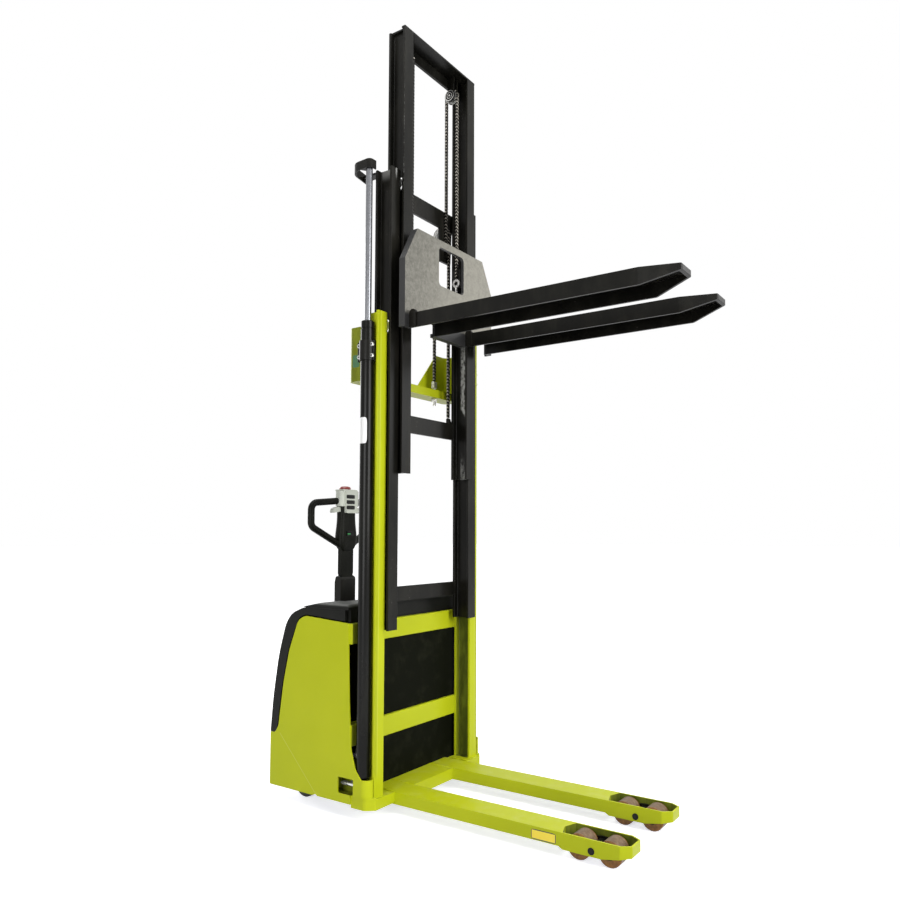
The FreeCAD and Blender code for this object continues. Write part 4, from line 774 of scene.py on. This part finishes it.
# The steel caps are painted dark, with bright rings on their two raised ridges and a painted highlight at the
# axle's centre.
rim = inner_ring.math("MAXIMUM", outer_ring).math("MAXIMUM", from_axle.near(0.0030, 0.003))
cap_steel.finish(cap_steel.mix(rim.ramp(0.1, 0.6), (0.006, 0.006, 0.006), (0.62, 0.61, 0.58)),
                 rough=0.26 + cap_steel.noise(0.01) * 0.15)
cap_nylon = Paint("cap_nylon", rough=0.4)
seal = cap_nylon.away(rear_x, rear_z).near(0.0127, 0.0026)
stain = cap_nylon.noise(0.012, 5.0)
tint = cap_nylon.mix(stain.ramp(0.5, 0.75), (0.80, 0.79, 0.77), (0.50, 0.49, 0.46))
cap_nylon.finish(cap_nylon.mix(seal.ramp(0.1, 0.6), tint, (0.05, 0.05, 0.05)), rough=0.36 + stain * 0.2)
for side_name, side in (("right", 1), ("left", -1)):
    skin("front_pulley_cap_" + side_name, cap_shape(cap_rows["front"], side), 12, 48, cap_steel.material,
         "mast_inner", loop=(False, True), spots=[(front_x, -side * front_cheek_y, front_z)])
    skin("rear_pulley_cap_" + side_name, cap_shape(cap_rows["rear"], side), 8, 48, cap_nylon.material,
         "mast_middle", loop=(False, True), spots=[(rear_x, -side * rear_cheek_y, rear_z)])

# Carriage plate: thick flame-cut steel, its face left bare under thin lacquer and mottled by the mill.
# The returns and the cut edges are painted black.
plate = Paint("worn_plate", metal=0.8)
plate_front, plate_foot = (-0.2375, -0.2365), (2.050, 2.066)
blotch = plate.noise(0.022, 9.0, 0.78)
scratch = plate.noise(0.006, 6.0, 0.7, (1, 4.0, 0.7))
# Painted reflection: the bare face is painted darker towards negative Y and the top, and lighter towards
# positive Y and the foot.
painted_reflection = (plate.axis(1) * 2.0 - plate.axis(2) * 0.5).ramp(-1.75, -0.75)
dull_mill = plate.mix(painted_reflection, (0.085, 0.082, 0.069), (0.170, 0.163, 0.138))
shiny_mill = plate.mix(painted_reflection, (0.185, 0.179, 0.156), (0.260, 0.251, 0.215))
mill = plate.mix((blotch * 0.5 + scratch * 0.5).ramp(0.38, 0.62), dull_mill, shiny_mill)
front = plate.facing(0).ramp(0.80, 0.95)
front = front * plate.axis(0).ramp(*plate_front) * plate.axis(2).ramp(*plate_foot)
plate.finish(plate.mix(front, (0.006, 0.006, 0.006), mill), rough=0.30 + blotch * 0.18 + scratch * 0.10,
             metal=front * 0.8, height=blotch * 0.6 + scratch * 0.4, depth=0.0004)
plate.on("carriage_plate")

# Load rollers: brown polyurethane cast on a steel hub, two in tandem under each leg.
# The tread is scuffed and dusty.
amber = Paint("brown_urethane", coat=0.05, specular=0.35)
tread_edge, band_row = (0.0285, 0.0310), 0.0085
scuff = amber.noise(0.012, 6.0, 0.65)
off = amber.axis(1).math("ABSOLUTE") - leg_y
tread = 1.0 - off.math("ABSOLUTE").ramp(*tread_edge)
band = (off / band_row).math("FRACT").near(0.5, 0.30) * 0.25
worn_tread = amber.mix(scuff.ramp(0.35, 0.7), (0.100, 0.058, 0.026), (0.190, 0.130, 0.075))
cast = amber.mix(scuff.ramp(0.4, 0.7), (0.130, 0.052, 0.007), (0.250, 0.110, 0.020))
amber.finish(amber.mix(tread * (1.0 - band), cast, worn_tread), rough=0.38 + scuff * 0.25,
             height=scuff + band, depth=0.0003)
amber.on("load_roller_right_rear", "load_roller_right_front",
         "load_roller_left_rear", "load_roller_left_front")

# Drive wheel and castors: solid dark rubber moulded on a wheel.
# Dust lies in the tread's pores.
rubber = Paint("wheel_rubber", rough=0.75)
dust = rubber.noise(0.02, 6.0)
rubber.finish(rubber.mix(dust.ramp(0.5, 0.8), (0.012, 0.012, 0.012), (0.06, 0.057, 0.050)),
              rough=0.7 + dust * 0.2, height=dust, depth=0.0004)
rubber.on("drive_wheel", "castor_wheel_right", "castor_wheel_left")

# Tiller mouldings: arm, head and loops in black plastic, injection moulded with a leather-like grain.
# They are a little greyer where hands and dust reach.
grain = Paint("black_plastic", specular=0.08)
grain_scale = 700.0
fog = grain.noise(0.12, 5.0)
grain_colour = grain.mix(fog.ramp(0.4, 0.7), (0.0038, 0.0040, 0.0026), (0.0085, 0.0088, 0.0064))
grain.finish(grain_colour, rough=0.36 + fog * 0.16, height=grain.cells(grain_scale),
             depth=0.00015, strength=0.5)
grain.on("tiller_arm", "tiller_head", "tiller_loops")

# Covers of the drive unit: the same grained plastic, screwed to the chassis.
# Their upward faces are painted much lighter than the sides, as painted light from above.
cover = Paint("cover_plastic", rough=0.4, specular=0.10)
mist = cover.noise(0.12, 5.0)
cover_dark = cover.mix(mist.ramp(0.4, 0.7), (0.0030, 0.0032, 0.0022), (0.0060, 0.0062, 0.0050))
# Painted light: faces that turn upwards are painted much lighter.
crown = cover.facing(2).ramp(-0.1, 0.7)
cover.finish(cover.mix(crown, cover_dark, (0.060, 0.062, 0.057)), rough=0.34 + mist * 0.16,
             height=cover.cells(grain_scale), depth=0.00015, strength=0.5)
cover.on("corner_trims", "rear_cover", "top_cover")

# Tiller cap and thumb levers: light grey moulded plastic with a soft spark-eroded grain.
# The cap is clipped to the head, and the levers turn in its sides.
pale = Paint("grey_plastic", rough=0.5)
tone = pale.noise(0.05, 4.0)
pale.finish(pale.mix(tone, (0.44, 0.46, 0.40), (0.52, 0.54, 0.48)), rough=0.42 + tone * 0.15,
            height=pale.noise(0.0015, 2.0), depth=0.0001)
pale.on("tiller_head_cap", "thumb_levers")

# Key pads: black soft plastic, moulded with a low crown.
# One is pushed into each of the cap's three slots.
pad_wide, pad_tall, pad_crown, pad_sunk = 0.0600, 0.0196, 0.0024, 0.0006
pad_spots = [(-0.8303, -0.006, 1.2695), (-0.8303, -0.006, 1.2955), (-0.8303, -0.006, 1.3215)]
pad = Paint("key_pad", specular=0.15)
pad_black = pad.mix(pad.noise(0.01, 3.0), (0.008, 0.008, 0.008), (0.020, 0.020, 0.019))
pad.finish(pad_black, rough=0.30 + pad.noise(0.02) * 0.2)


def pad_shape(u, v):
    """Superellipse of power 8 across Y and Z, u of its size; the crown falls with the fourth power of u."""
    across, up = rounded(v, 8)
    return pad_crown * (1 - u ** 4) - pad_sunk + 0 * v, pad_wide / 2 * u * across, pad_tall / 2 * u * up


skin("key_pads", pad_shape, 8, 40, pad.material, "tiller", loop=(False, True), spots=pad_spots)

# Charge display on the tiller head: a window of dark glossy plastic over a small green lamp.
# It is moulded with a slight dome and pushed into the head up to its rim.
glass_face, glass_middle, glass_half, glass_rim = -0.8387, 1.1455, (0.0270, 0.0125), 0.85
glow_y, glow_z, glow_soft = (-0.008, 0.015), (1.1425, 0.0055), (0.1, 0.5)
glass = Paint("display_glass", coat=0.1, coat_rough=0.05, specular=0.10)
# Painted light: the green lamp's glow is painted into the window's colour as a soft patch.
painted_lamp_glow = glass.axis(1).near(*glow_y).ramp(*glow_soft) * glass.axis(2).near(*glow_z).ramp(*glow_soft)
glass_tint = glass.mix(painted_lamp_glow, (0.004, 0.004, 0.004), (0.045, 0.230, 0.075))
glass.finish(glass_tint, rough=0.12 + glass.noise(0.01) * 0.05)


def display_shape(u, v):
    """Superellipse of power 6 across Y and Z: the dome falls with u squared, then the rim turns in."""
    across, up = rounded(v, 6)
    size = np.minimum(u / glass_rim, 1.0)
    turned_in = 0.0022 * np.maximum(u - glass_rim, 0) / (1 - glass_rim)
    dome = 0.0014 * (1 - 0.5 * np.minimum(u, 1.0) ** 2) - turned_in
    return glass_face + dome + 0 * v, glass_half[0] * size * across, glass_middle + glass_half[1] * size * up


skin("tiller_display", display_shape, 14, 80, glass.material, "tiller", loop=(False, True))

# Emergency button: deep red moulded plastic, shiny on its dome.
# It is pushed on a switch that is screwed into the head.
red = Paint("red_button", coat=0.15, coat_rough=0.1)
red_deep = red.mix(red.noise(0.02, 3.0), (0.12, 0.010, 0.008), (0.20, 0.016, 0.012))
red.finish(red_deep, rough=0.3 + red.noise(0.01) * 0.1)
red.on("emergency_button")
